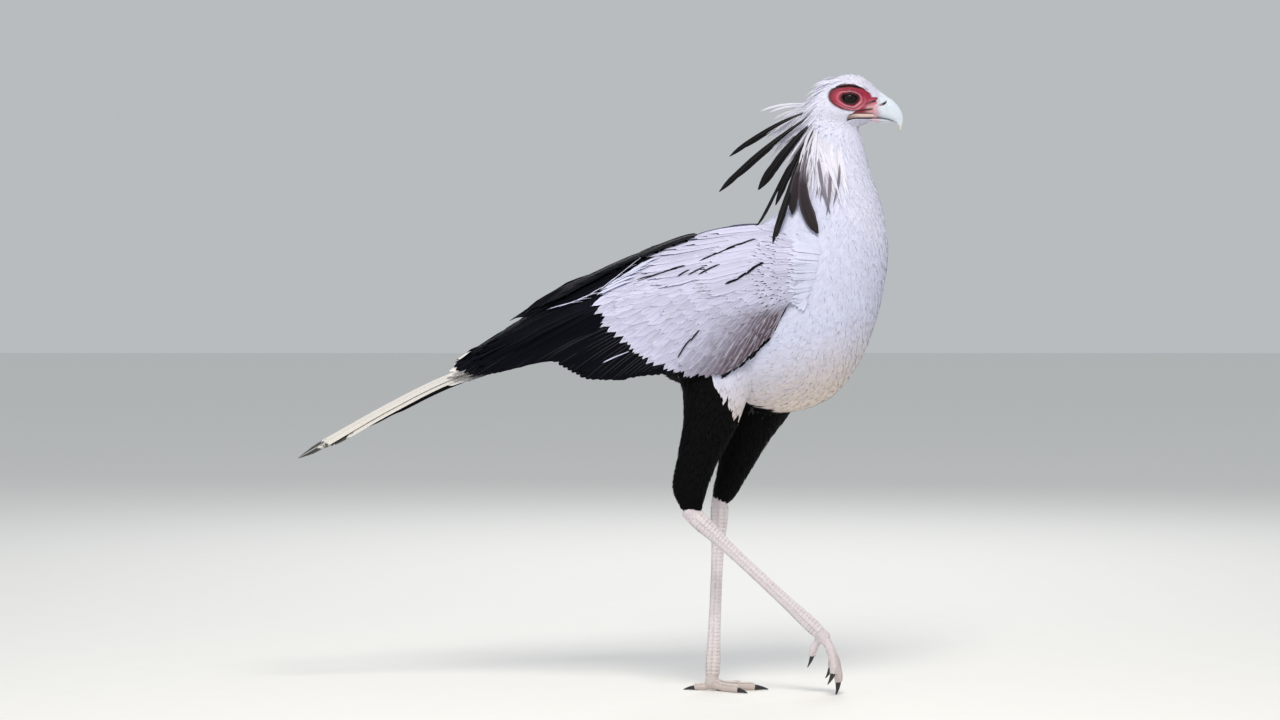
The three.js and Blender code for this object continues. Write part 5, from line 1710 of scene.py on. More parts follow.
BREAST_EDGE = WingRow(
    "breast_edge",
    ((392, 820), (398, 800), (396, 776), (390, 752), (380, 730), (370, 712)),
    ((350, 828), (338, 806), (332, 780), (330, 752), (338, 722), (352, 694)),
    60, 3.6, 4.0, tilt=0.3, depth=2.0, slope=1.0,
)
TERTIALS = WingRow(
    "tertials",
    ((190, 822), (150, 806), (110, 791), (64, 774), (20, 757)),
    ((88, 782), (30, 761), (-30, 733), (-90, 696), (-150, 661)),
    10, 11.0, 7.5, True, 0.8, 10.0, 2.0,
)
# Thin black feathers laid where the wing shows dark lines: partly black feathers peeking out between the coverts,
# partly painted shadow under feather edges and in a fold.
DARK_LINES = tuple(
    WingRow(name, roots, tips, count, half, lift, True, 0.3, 5.0, 0.5, 1.0)
    for name, roots, tips, count, half, lift in (
        ("first_dark_line", ((286, 816), (262, 806), (236, 797)), ((246, 802), (214, 790), (176, 775)), 4, 1.8, 7.0),
        ("second_dark_line", ((164, 769), (136, 759), (104, 750)), ((128, 758), (100, 748), (66, 738)), 4, 1.7, 8.0),
        ("third_dark_line", ((222, 773), (166, 762)), ((176, 752), (140, 747)), 3, 1.5, 8.0),
        ("fourth_dark_line", ((184, 664), (168, 648), (154, 632)), ((162, 638), (148, 622), (138, 606)), 3, 1.2, 6.4),
        ("dark_folds", ((300, 779), (272, 765), (252, 749)), ((268, 763), (250, 748), (222, 738)), 4, 1.9, 6.8),
    )
)


def between(first: WingRow, second: WingRow, share: float, name: str) -> WingRow:
    """Make a row that lies between two others."""
    t = np.linspace(0, 1, 7)
    roots, tips = (
        tuple(map(tuple, catmull(a, t) * (1 - share) + catmull(b, t) * share))
        for a, b in ((first.roots, second.roots), (first.tips, second.tips))
    )
    count, half, lift, depth = (
        getattr(first, key) + (getattr(second, key) - getattr(first, key)) * share
        for key in ("count", "half", "lift", "depth")
    )
    return WingRow(name, roots, tips, round(count), half, lift, depth=depth)


@dataclass
class Wing:
    """A folded wing: its body, and rows of flight feathers and coverts over it."""

    side: float
    name: str
    body_skin: Surface
    rng: np.random.Generator

    def rows(self) -> list[WingRow]:
        """List the rows from the longest feathers up to the smallest."""
        covers = [GREATER, MEDIAN, LESSER, SHOULDER, MARGIN]
        steps = [(covers[i], covers[i + 1], k / 3) for i in range(4) for k in range(3)]
        graded = [between(a, b, share, f"{a.name}_{k}") for k, (a, b, share) in enumerate(steps)]
        back = between(SCAPULARS, MARGIN, 0.4, "back")
        return [FLIGHT, SHADOW_EDGE, *graded, MARGIN, *DARK_LINES, SCAPULARS, back, TERTIALS]

    def build(self) -> list[bpy.types.Object]:
        """Build the wing's pieces."""
        black, silver = Plumage(), Plumage()
        for row in self.rows():
            self.lay(black if row.black else silver, row)
        white = Plumage()
        for row in (BREAST_COVER, BREAST_EDGE):
            self.lay(white, row, 1.0)
        for row in (PALE_EDGE, PALE_LINE, PALE_FOLD):
            self.lay(white, row)
        pieces = [
            black.make(f"{self.name}_flight_feathers", BLACK.make()),
            white.make(f"{self.name}_breast_cover", WHITE_BODY.make()),
            silver.make(f"{self.name}_coverts", SILVER.make()),
            tubes(f"{self.name}_flight_shafts", black.lines, 0.95, 0.2, QUILL_DARK.make()),
            tubes(f"{self.name}_covert_shafts", silver.lines, 0.36, 0.25, QUILL_PALE.make(), 5),
            self.body(),
        ]
        return pieces

    def on_skin(self, flat: Array) -> Array:
        """Lift side-view places onto the wing's skin."""
        x, z = flat[..., 0], flat[..., -1]
        return np.stack([x, self.side * wing_skin(x, z), z], -1)

    def normal(self, points: Array) -> Array:
        """The way out of the wing's skin at places on it."""
        x, z, step = points[..., 0], points[..., 2], 3.0
        slope_x = (wing_skin(x + step, z) - wing_skin(x - step, z)) / (2 * step)
        slope_z = (wing_skin(x, z + step) - wing_skin(x, z - step)) / (2 * step)
        return unit(np.stack([-slope_x, np.full_like(x, self.side), -slope_z], -1))

    def off_body(self, flat: Array) -> Array:
        """Find how far from the middle plane the breast's skin stands at places in the side view."""
        reach = []
        for x, z in flat.reshape(-1, 2):
            hit = self.body_skin.tree.ray_cast(Vector((x, self.side * 200, z)), Vector((0, -self.side, 0)))
            reach.append(abs(hit[0][1]) if hit[0] is not None else 0.0)
        return np.array(reach).reshape(flat.shape[:-1])

    def lay(self, plumage: Plumage, row: WingRow, merged: float = 0.0) -> None:
        """Lay one row over the wing's skin, or, where merged is 1, from the breast's skin onto the wing's."""
        rng, shape = self.rng, LONG_VANE if row.black and row.half > 5 else COVERT_VANE
        share = np.clip((np.arange(row.count) + rng.normal(0, 0.09, row.count)) / (row.count - 1), 0, 1)
        roots = catmull(row.roots, share)
        tips = catmull(row.tips, share) + rng.normal(0, 1, (row.count, 2)) * (row.loose, 0.6 * row.loose)
        stops = np.asarray(shape.stops)
        way = tips - roots
        bow = np.stack([way[:, 1], -way[:, 0]], -1) * (0.05 + rng.normal(0, 0.012, (row.count, 1)))
        t = stops[None, :, None]
        flat = roots[:, None] * (1 - t) + tips[:, None] * t + bow[:, None] * (2 * t * (1 - t))
        lines = self.on_skin(flat)
        normals = self.normal(lines)
        tangents = unit(np.gradient(lines, axis=1))
        across = unit(np.cross(normals, tangents))
        across = np.where(across[..., 2:] > 0, -across, across)
        half = row.half * (1 + rng.normal(0, 0.05, row.count))
        drops = []
        for sign in (-1.0, 1.0):
            edge = lines + across * (sign * half[:, None] * np.asarray(shape.widths))[..., None]
            top = wing_line(edge[..., 0])[0]
            over = edge[..., 2] > top - 2
            probe = np.where(over[..., None], 2 * lines - edge, edge)
            fall = ((self.on_skin(probe) - probe) * normals).sum(-1)
            drops.append(np.clip(fall, -0.45 * row.half, 0))
        rise = -row.depth * (1 - smoothstep(0, 0.22, stops)) + row.lift + row.slope * stops
        lift = rise[None, :] + rng.normal(0, 0.25, (row.count, 1)) * stops
        lines = lines + normals * lift[..., None]
        if merged:
            over = smoothstep(0.1, 0.85, stops)
            start = self.off_body(flat) + 3.6 - 5.0 * (1 - smoothstep(0, 0.2, stops))
            lines[..., 1] = self.side * ((1 - over) * start + over * np.abs(lines[..., 1]))
            _, breast = self.body_skin.nearest(lines)
            normals = unit(breast * (1 - 0.6 * over[:, None]) + normals * 0.6 * over[:, None])
            across = unit(np.cross(normals, unit(np.gradient(lines, axis=1))))
            drops = [d * 0 for d in drops]
        bent = [d * (np.asarray(shape.widths) ** 2) for d in drops]
        x, z = roots[:, 0], roots[:, 1]
        places = np.stack([0.04 + 0.92 * (x + 270) / 660, 0.04 + 0.92 * (z - 540) / 320], -1)
        self.add_bent(plumage, shape, lines, across, normals, half, row, places, bent, 0.85 if merged else 0.5)

    def add_bent(
        self, plumage: Plumage, shape: VaneShape, lines: Array, across: Array, normals: Array, half: Array,
        row: WingRow, places: Array, bent: list[Array], soft: float,
    ) -> None:
        """Add feathers whose edges are bent down to follow the wing, by tipping each stop's way across."""
        outward = normals + across * ((bent[0] - bent[1]) / half[:, None])[..., None] * 0.5
        sides = unit(across + normals * ((bent[1] - bent[0]) / (2 * half[:, None]))[..., None])
        settle = (bent[0] + bent[1]) * 0.18
        plumage.add(
            shape, lines + normals * settle[..., None], sides, unit(outward), half,
            roots=places, rng=self.rng, ragged=0.06, tilt=row.tilt, patch=0.05, shafts=row.half > 5,
            outward=normals, soft=soft,
        )

    def body(self) -> bpy.types.Object:
        """Build the wing's body, which closes what the feathers leave open."""
        along, down = 60, 22
        x = np.linspace(-205, 356, along)[:, None] * np.ones((1, down))
        top = wing_line(x)[0]
        drop = np.linspace(0, 1, down)[None, :] ** 1.3
        low = np.interp(
            x, [-205, -133, -90, -60, -36, 14, 56, 96, 140, 180, 252, 306, 356],
            [600, 610, 617, 606, 588, 584, 592, 602, 600, 592, 630, 688, 738],
        )
        z = (top - 5) * (1 - drop) + low * drop
        nose = 10 * smoothstep(318, 356, x)
        outer = wing_skin(x, z) - 5.5 - nose
        thick = 3.0 + 50 * np.clip((x + 60) / 120, 0, 1)
        inner = np.maximum(outer - thick, 1.0)
        loop = [np.stack([x, self.side * y, z], -1) for y in (outer, inner)]
        rings = np.concatenate([loop[0], loop[1][:, ::-1]], axis=1)
        made = loft_object(f"{self.name}_body", rings)
        made.data.materials.append(BLACK.make())
        made.data.materials.append(SILVER.make())
        corner = catmull(GREATER.roots, np.linspace(0, 1, 40))
        for face in made.data.polygons:
            x, _, z = np.array(face.center) / MM
            edge = np.interp(-z, -corner[:, 1], corner[:, 0])
            face.material_index = int(x > edge - 10 and z > 650)
        return made


TAIL_PATH = [(52, 668), (-72, 632), (-180, 599), (-286, 560), (-383, 511), (-459, 468), (-544, 419)]


@dataclass(frozen=True)
class TailFeather:
    """One tail feather: how far it follows the tail's line, how far aside and below it lies, and its half width."""

    reach: float
    aside: float
    half: float
    lower: float


@dataclass
class Tail:
    """The tail: two very long middle feathers over shorter graded pairs."""

    rng: np.random.Generator
    turned: float = math.radians(22)
    arch: float = 0.004
    longest: tuple[TailFeather, ...] = (TailFeather(1.0, 4, 16, 0.0),)
    second: tuple[TailFeather, ...] = (TailFeather(0.918, -9, 15, 3.0),)
    dark_edge: tuple[TailFeather, ...] = (TailFeather(0.76, -17, 6.5, 5.4), TailFeather(0.66, -19, 6.5, 7.4))
    short_pairs: tuple[TailFeather, ...] = (
        TailFeather(0.5, -9.5, 17, 4.4), TailFeather(0.485, 9.5, 17, 5.6), TailFeather(0.465, -12, 17, 6.8),
        TailFeather(0.45, 12, 17, 8.0), TailFeather(0.48, -5, 15, -5.5), TailFeather(0.47, 7, 15, -8.5),
        TailFeather(0.462, -9, 14, -11.5), TailFeather(0.452, 9, 14, -15), TailFeather(0.444, -12, 13, -19),
        TailFeather(0.436, 12, 13, -23),
    )

    def build(self) -> list[bpy.types.Object]:
        """Build the tail's pieces."""
        pieces = []
        for name, feathers, finish in (
            ("tail_longest_feather", self.longest, TAIL_LONGEST),
            ("tail_second_feather", self.second, TAIL_SECOND),
            ("tail_short_feathers", self.short_pairs, TAIL_SHORT),
            ("tail_dark_edge", self.dark_edge, TAIL_DARK),
        ):
            plumage = Plumage()
            for i, feather in enumerate(feathers):
                self.lay(plumage, feather, i, len(feathers))
            pieces.append(plumage.make(name, finish.make()))
            if finish is not TAIL_DARK:
                quill = QUILL_TAIL if finish is TAIL_SHORT else QUILL_BANDED
                pieces.append(tubes(f"{name}_shafts", plumage.lines, 1.2, 0.25, quill.make()))
        return pieces

    def lay(self, plumage: Plumage, feather: TailFeather, number: int, total: int) -> None:
        """Lay one feather along the tail's line."""
        shape = TAIL_VANE
        stops = np.asarray(shape.stops)
        before, flat, after = (
            catmull(TAIL_PATH, np.clip((stops + shift) * feather.reach, 0, 1)) for shift in (-0.01, 0.0, 0.01)
        )
        way = unit(after - before)
        zero = np.zeros(len(stops))
        upright = np.stack([way[:, 1], zero, -way[:, 0]], -1)
        upright = np.where(upright[:, 2:] < 0, -upright, upright)
        across = np.array([0, math.cos(self.turned), 0]) + upright * math.sin(self.turned)
        normal = np.array([0, -math.sin(self.turned), 0]) + upright * math.cos(self.turned)
        y = feather.aside * (0.35 + 0.65 * np.minimum(1, stops * 1.6)) + self.rng.normal(0, 1.2) * stops
        depth = feather.lower * (0.6 + 0.4 * np.minimum(1, stops * 3)) + self.arch * y**2
        lines = np.stack([flat[:, 0], zero, flat[:, 1]], -1) + across * y[:, None] - normal * depth[:, None]
        place = np.array([[0.08 + 0.84 * (number + 0.5) / total, 0.5]])
        plumage.add(
            shape, lines[None], unit(across)[None], unit(normal)[None], np.array([feather.half]),
            roots=place, rng=self.rng, ragged=0.03, patch=0.8 / total, shafts=True,
        )


TAIL_VANE = VaneShape(
    tuple(np.concatenate([np.linspace(0, 0.94, 30), [0.965, 0.985, 1.0]])),
    tuple(np.interp(
        np.concatenate([np.linspace(0, 0.94, 30), [0.965, 0.985, 1.0]]),
        [0, 0.15, 0.4, 0.75, 0.93, 0.97, 1.0], [0.45, 0.6, 0.8, 1.0, 1.12, 0.95, 0.4],
    )),
    (-1.0, -0.7, -0.35, -0.06, 0.0, 0.06, 0.35, 0.7, 1.0),
    rounding=0.02, shaft=0.6, thickness=0.9,
)


def side_place(px: float, py: float) -> tuple[float, float]:
    """Turn a place in the side view's 1.8 mm grid into X and Z."""
    return (px - 600) * 1.8, (692 - py) * 1.8


def tip_from(root: tuple[float, float], reach: float, angle: float) -> tuple[float, float]:
    """Find a plume's tip in the side view's grid from its root, its reach and its slope backwards and down."""
    return root[0] - reach * math.cos(angle), root[1] + reach * math.sin(angle)


class CrestKind(Enum):
    """The kinds of crest feather."""

    BLACK = "black"
    BROWN = "brown"
    PALE = "pale"
    CROWN = "crown"
    STREAK = "streak"
    DUSKY = "dusky"


@dataclass(frozen=True)
class Plume:
    """One long crest feather: root, middle and tip in the side view's grid, how far out its root and tip stand, and
    its half width in millimetres."""

    root: tuple[float, float]
    middle: tuple[float, float]
    tip: tuple[float, float]
    out: tuple[float, float]
    half: float
    kind: CrestKind = CrestKind.BLACK


CREST_VANE = VaneShape(
    (0.0, 0.1, 0.22, 0.34, 0.46, 0.56, 0.66, 0.75, 0.83, 0.9, 0.955, 1.0),
    (0.2, 0.2, 0.24, 0.38, 0.56, 0.74, 0.88, 0.97, 1.0, 0.9, 0.68, 0.34),
    (-1.0, -0.66, -0.3, -0.07, 0.0, 0.07, 0.3, 0.66, 1.0),
    rounding=0.03, shaft=0.4, camber=0.12, thickness=0.7,
)
BLACK_CREST_VANE = replace(CREST_VANE, widths=(0.22, 0.32, 0.48, 0.66, 0.8, 0.9, 0.97, 1.0, 0.96, 0.84, 0.64, 0.32))
WISP_VANE = VaneShape(
    (0.0, 0.15, 0.3, 0.5, 0.7, 0.85, 1.0), (0.3, 0.6, 0.9, 1.0, 0.8, 0.5, 0.12), (-1.0, -0.4, 0.0, 0.4, 1.0),
    rounding=0.02, shaft=0.2, camber=0.15, thickness=0.5, fray=0.04,
)


@dataclass
class Crest:
    """The loose crest of long feathers that fans from the back of the head, with a pale mane about its roots."""

    surface: Surface
    flesh: Flesh
    rng: np.random.Generator
    clearance: float = 3.0
    near: tuple[Plume, ...] = (
        Plume((804, 110.5), (771, 128), (729, 156.5), (20, 16), 4.6),
        Plume((804, 116), (766, 148), (718.5, 191.5), (26, 34), 6.0),
        Plume((807, 121), (786, 150), (757.5, 189.5), (28, 30), 8.6),
        Plume((807, 126), (793, 162), (774.5, 205), (32, 42), 5.4),
        Plume((807, 130), (797, 172), (791, 214), (36, 56), 8.8, CrestKind.BROWN),
        Plume((809, 134), (801, 182), (817, 234.5), (40, 72), 11.5, CrestKind.BROWN),
        Plume((813, 140), (820, 178), (829, 216), (40, 72), 4.4, CrestKind.DUSKY),
        Plume((808, 126), (803, 140), (788, 163), (30, 36), 2.0, CrestKind.DUSKY),
        Plume((812, 130), (811, 146), (804, 168), (34, 44), 2.0, CrestKind.DUSKY),
        Plume((806, 140), (803, 160), (801, 186), (34, 50), 2.2, CrestKind.DUSKY),
        Plume((820, 148), (820, 172), (816, 200), (38, 54), 2.4, CrestKind.DUSKY),
        Plume((837, 158), (836, 184), (831, 208), (38, 56), 2.4, CrestKind.DUSKY),
        Plume((829, 164), (829, 190), (825, 218), (38, 60), 3.0, CrestKind.DUSKY),
        Plume((824, 156), (823, 178), (820, 204), (38, 58), 2.0, CrestKind.DUSKY),
        Plume((801, 100), (779, 105.5), (757, 113.5), (5, 3), 2.0, CrestKind.PALE),
        Plume((802, 104), (784, 107.5), (766, 115), (-5, -8), 1.8, CrestKind.PALE),
        Plume((803, 106), (786, 113), (770, 122), (12, 12), 1.8, CrestKind.PALE),
        Plume((805, 128), (782, 178), (756, 231), (5, 20), 3.0),
        Plume((808, 132), (790, 186), (771, 242), (20, 76), 6.5),
    )
    far: tuple[Plume, ...] = (
        Plume((804, 111.5), (775, 127.5), (744, 148), (-6, -18), 4.0),
        Plume((805, 118), (771, 147), (733, 180.5), (-12, -34), 5.0),
        Plume((807, 123), (787, 151.5), (762, 186), (-16, -40), 7.0),
        Plume((808, 128), (794, 163.5), (777, 200), (-24, -56), 4.8),
        Plume((810, 136), (804, 176), (799, 220), (-32, -72), 9.0, CrestKind.BROWN),
        Plume((812, 138), (814, 178), (822, 226), (-36, -80), 9.5, CrestKind.BROWN),
    )
    pale_count: int = 130
    crown_count: int = 280
    streak_count: int = 150

    def build(self) -> list[bpy.types.Object]:
        """Build the crest's pieces."""
        kinds = {kind: Plumage() for kind in CrestKind}
        for number, plume in enumerate(self.near + self.far):
            self.lay(kinds[plume.kind], plume, number)
        fine = ((self.hanging, self.pale_count), (self.swept, self.crown_count), (self.streak, self.streak_count))
        for grow, count in fine:
            for number in range(count):
                plume = grow(number)
                self.lay(kinds[plume.kind], plume, number)
        black, brown, pale, crown, streaks, dusky = (kinds[kind] for kind in CrestKind)
        pieces = [
            black.make("crest_black_plumes", CREST_BLACK.make()),
            brown.make("crest_brown_plumes", CREST_BROWN.make()),
            pale.make("crest_pale_plumes", CREST_GREY.make()),
            crown.make("crown_plumes", WHITE_HEAD.make()),
            streaks.make("neck_streak_plumes", CREST_GREY.make()),
            dusky.make("crest_dusky_plumes", CREST_DUSKY.make()),
            tubes("crest_shafts", black.lines + brown.lines, 0.7, 0.25, QUILL_DARK.make(), 5),
        ]
        return pieces

    def hanging(self, number: int) -> Plume:
        """Make one of the thin pale feathers that hang among and below the dark ones."""
        rng = self.rng
        side = 1.0 if number % 2 else -1.0
        share = rng.random() ** 0.7
        root = (805 + 14 * share + rng.normal(0, 1.5), 108 + 34 * share + rng.normal(0, 1.5))
        angle = math.radians(26 + 76 * share + rng.normal(0, 5))
        reach = (22 + 26 * rng.random()) * (1 + 0.75 * share)
        tip = tip_from(root, reach, angle)
        middle = (root[0] * 0.48 + tip[0] * 0.52 + 1.2, root[1] * 0.5 + tip[1] * 0.5 - 2)
        out = 2 + 30 * share * rng.random() ** 0.5
        half = 1.6 + 1.5 * rng.random()
        return Plume(root, middle, tip, (side * out, side * (out + 34 * share)), half, CrestKind.PALE)

    def swept(self, number: int) -> Plume:
        """Make one of the crown's long feathers, which sweep back over the nape."""
        rng = self.rng
        side = 1.0 if number % 2 else -1.0
        share = (number / self.crown_count) ** 0.8
        root = (841 - 27 * share + rng.normal(0, 4), 75.5 + 45 * share + rng.normal(0, 2))
        reach = (27 + 14 * rng.random()) * (1.0 + 0.35 * (rng.random() < 0.15) * (share > 0.4))
        reach *= 0.55 + 0.45 * min(1.0, 2 * share)
        angle = math.radians(26 + 26 * share + rng.normal(0, 3))
        tip = tip_from(root, reach, angle)
        middle = (0.5 * (root[0] + tip[0]), 0.5 * (root[1] + tip[1]) - 0.3)
        out = 1 + 30 * rng.random()
        half = 0.9 + 0.9 * rng.random()
        return Plume(root, middle, tip, (side * out, side * (0.5 * out + 3)), half, CrestKind.CROWN)

    def streak(self, number: int) -> Plume:
        """Make one of the thin feathers that hang down the side of the neck."""
        rng = self.rng
        side = 1.0 if number % 2 else -1.0
        share = rng.random()
        root = (806 + 32 * share, 122 + 18 * rng.random() + 8 * share)
        reach = 32 + 34 * rng.random()
        angle = math.radians(96 - 14 * (1 - share) + rng.normal(0, 3))
        tip = tip_from(root, reach, angle)
        middle = (0.5 * (root[0] + tip[0]) - 1.0, 0.5 * (root[1] + tip[1]))
        out = 30 + 8 * rng.random()
        return Plume(root, middle, tip, (side * out, side * (out + 12)), 1.5 + 1.3 * rng.random(), CrestKind.STREAK)

    def lay(self, plumage: Plumage, plume: Plume, number: int) -> None:
        """Lay one feather from the skin through the air, clear of the neck, the back and the wings."""
        close = plume.kind in (CrestKind.CROWN, CrestKind.STREAK)
        pale = close or plume.kind in (CrestKind.PALE, CrestKind.DUSKY)
        flat = {CrestKind.CROWN: 0.26, CrestKind.STREAK: 0.42}.get(plume.kind, 1.0)
        dark = BLACK_CREST_VANE if plume.kind is CrestKind.BLACK else CREST_VANE
        shape = WISP_VANE if pale else dark
        stops = np.asarray(shape.stops)
        sign = math.copysign(1.0, plume.out[1])
        corners = []
        outs = (plume.out[0], 0.5 * sum(plume.out), plume.out[1])
        for spot, out in zip((plume.root, plume.middle, plume.tip), outs):
            x, z = side_place(*spot)
            corners.append((x, -out, z))
        corners = np.array(corners)
        start, way_out = self.surface.nearest(corners[:1])
        if close and self.flesh.bare(start)[0] > 0.02:
            return
        corners[0] = start[0] - way_out[0] * 1.2
        t = stops[:, None]
        control = 2 * corners[1] - 0.5 * (corners[0] + corners[2])
        lines = corners[0] * (1 - t) ** 2 + control * 2 * t * (1 - t) + corners[2] * t**2
        for _ in range(2):
            spots, normals = self.surface.nearest(lines)
            gap = ((lines - spots) * normals).sum(-1)
            needed = (0.6 + self.clearance) * smoothstep(0.0, 0.35 if flat == 1 else 0.8, stops) * flat
            needed = needed - 1.6 * (1 - smoothstep(0, 0.25, stops)) + (0 if pale else 1.5) * stops
            needed = needed + 0.4 * flat * (number % 7) * stops
            push = np.maximum(needed - gap, 0)
            push = np.convolve(np.pad(push, 2, mode="edge"), [0.1, 0.2, 0.4, 0.2, 0.1], mode="valid")
            lines = lines + normals * push[:, None]
        lines[:, 1] = -sign * np.maximum(np.abs(lines[:, 1]), self.over_wing(lines))
        spots, outward = self.surface.nearest(lines)
        tangent = unit(np.gradient(lines, axis=0))
        roll = self.rng.normal(0, 0.22)
        facing = unit(np.array([0.25 * math.sin(roll), -sign, 0.5 * math.sin(roll)]))
        hugging = np.exp(-np.maximum(((lines - spots) * outward).sum(-1), 0) / 9.0)[:, None]
        facing = unit(facing * (1 - hugging) + outward * hugging)
        sides = unit(np.cross(facing, tangent))
        normal = unit(np.cross(tangent, sides))
        place = np.array([[0.05 + 0.1 * (number % 9), 0.04 + 0.055 * (number // 9)]])
        plumage.add(
            shape, lines[None], sides[None], normal[None], np.array([plume.half]),
            roots=place, rng=self.rng, ragged=0.08, patch=0.04, shafts=not pale, outward=outward[None],
            soft=0.7 if close else 0.0,
        )

    def over_wing(self, lines: Array) -> Array:
        """How far out a feather must lie so that it stays over the folded wing."""
        x, z = lines[:, 0], lines[:, 2]
        top = wing_line(x)[0]
        over = (x < 366) & (z < top + 4)
        return np.where(over, wing_skin(x, np.minimum(z, top)) + 9.0, 0.0)


@dataclass
class Bill:
    """The hooked bill, with a soft cere at its root, a slit nostril and a fine cutting edge."""

    skin: Surface
    nostril: tuple[float, float] = (508.5, 1058.0)
    nostril_size: tuple[float, float] = (8.6, 2.3)
    nostril_slant: float = math.radians(27)
    tuck: float = 1.8

    def build(self) -> list[bpy.types.Object]:
        """Build the two halves."""
        upper = loft_object("upper_bill", self.upper_rings())
        lower = loft_object("lower_bill", self.lower_rings())
        pieces = [upper, lower]
        for piece, finish in ((upper, BILL_HORN), (lower, GAPE_HORN)):
            points = mesh_points(piece)
            x, z = points[:, 0], points[:, 2]
            reach = np.maximum(x - 486, 0) + np.maximum(1040 - z, 0) * smoothstep(525, 540, x)
            add_attribute(piece, "Along", np.clip(reach / 88, 0, 1))
            add_attribute(piece, "HollowShade", self.hollow_shade(points))
            add_attribute(piece, "Blush", self.blush(points))
            piece.data.materials.append(finish.make())
        return pieces

    def slit(self, x: Array, z: Array) -> Array:
        """How far a place is from the nostril's middle, where 1 is its edge."""
        dx, dz = x - self.nostril[0], z - self.nostril[1]
        c, s = math.cos(self.nostril_slant), math.sin(self.nostril_slant)
        u, v = dx * c + dz * s, -dx * s + dz * c
        return np.hypot(u / self.nostril_size[0], (v - 0.02 * u**2) / self.nostril_size[1])

    def hollow_shade(self, points: Array) -> Array:
        """Where painted shade darkens the horn: in the nostril and along the closed mouth."""
        x, z = points[:, 0], points[:, 2]
        nostril = 1 - smoothstep(0.7, 1.1, self.slit(x, z))
        edge = np.interp(x, [488, 509, 519, 527, 533], [1033.2, 1031.6, 1029.6, 1026.8, 1022.8])
        mouth = bell(z - edge - 0.2, 1.2) * (1 - smoothstep(526, 534, x)) * 0.92
        return np.maximum(nostril, mouth)

    def blush(self, points: Array) -> Array:
        """How much of the face's pink runs on over the bill's root."""
        front = 497 + 0.1 * (1066 - points[:, 2]) + 1.2 * np.sin(points[:, 2] * 0.7)
        share = (0.3 + 0.5 * smoothstep(1030, 1038, points[:, 2])) * (1 - smoothstep(1060, 1076, points[:, 2]))
        return share * (1 - smoothstep(-8, 8, points[:, 0] - front))

    def lower_rings(self) -> Array:
        """Shape the lower half, with its root drawn in under the chin's feathers."""
        rings = Loft(LOWER_BILL, LOWER_WAIST).grid(50, 48)
        drawn = 0.16 * (1 - smoothstep(488, 503, rings[..., 0]))
        rings[..., 1] *= 1 - drawn
        rings[..., 2] += (1031 - rings[..., 2]) * drawn * 1.6
        return rings

    def upper_rings(self) -> Array:
        """Shape the upper half: cere, nostril and cutting edge."""
        along, around = 160, 150
        rings = Loft(UPPER_BILL, UPPER_WAIST).grid(along, around)
        turn = np.broadcast_to(circle(around), (along, around))
        x, z = rings[..., 0], rings[..., 2]
        side = np.sign(rings[..., 1])
        cere = bell(x - 503 + 0.35 * (z - 1060), 8.5)
        step = smoothstep(511, 514.5, x + 0.30 * (z - 1056))
        flank = np.abs(np.sin(turn))
        y = np.abs(rings[..., 1])
        y = y + flank * (0.9 * cere - 0.6 * step * (1 - smoothstep(514.5, 524, x)))
        hole = np.exp(-self.slit(x, z) ** 4)
        rim = bell(self.slit(x, z) - 1.5, 0.35)
        y = y - flank * (3.0 * hole - 0.45 * rim)
        edge = bell(z - np.interp(x, [488, 509, 519, 527, 533], [1035, 1034, 1032, 1029, 1025]), 1.4)
        y = y + 0.35 * edge * flank * (1 - smoothstep(528, 536, x))
        under = self.tuck * (1 - smoothstep(500, 512, x)) * smoothstep(1046, 1062, z)
        rings[..., 1] = side * np.maximum(y - under * flank, 0.05)
        rings[..., 2] = z + (0.7 * cere - under) * np.maximum(np.cos(turn), 0)
        return rings


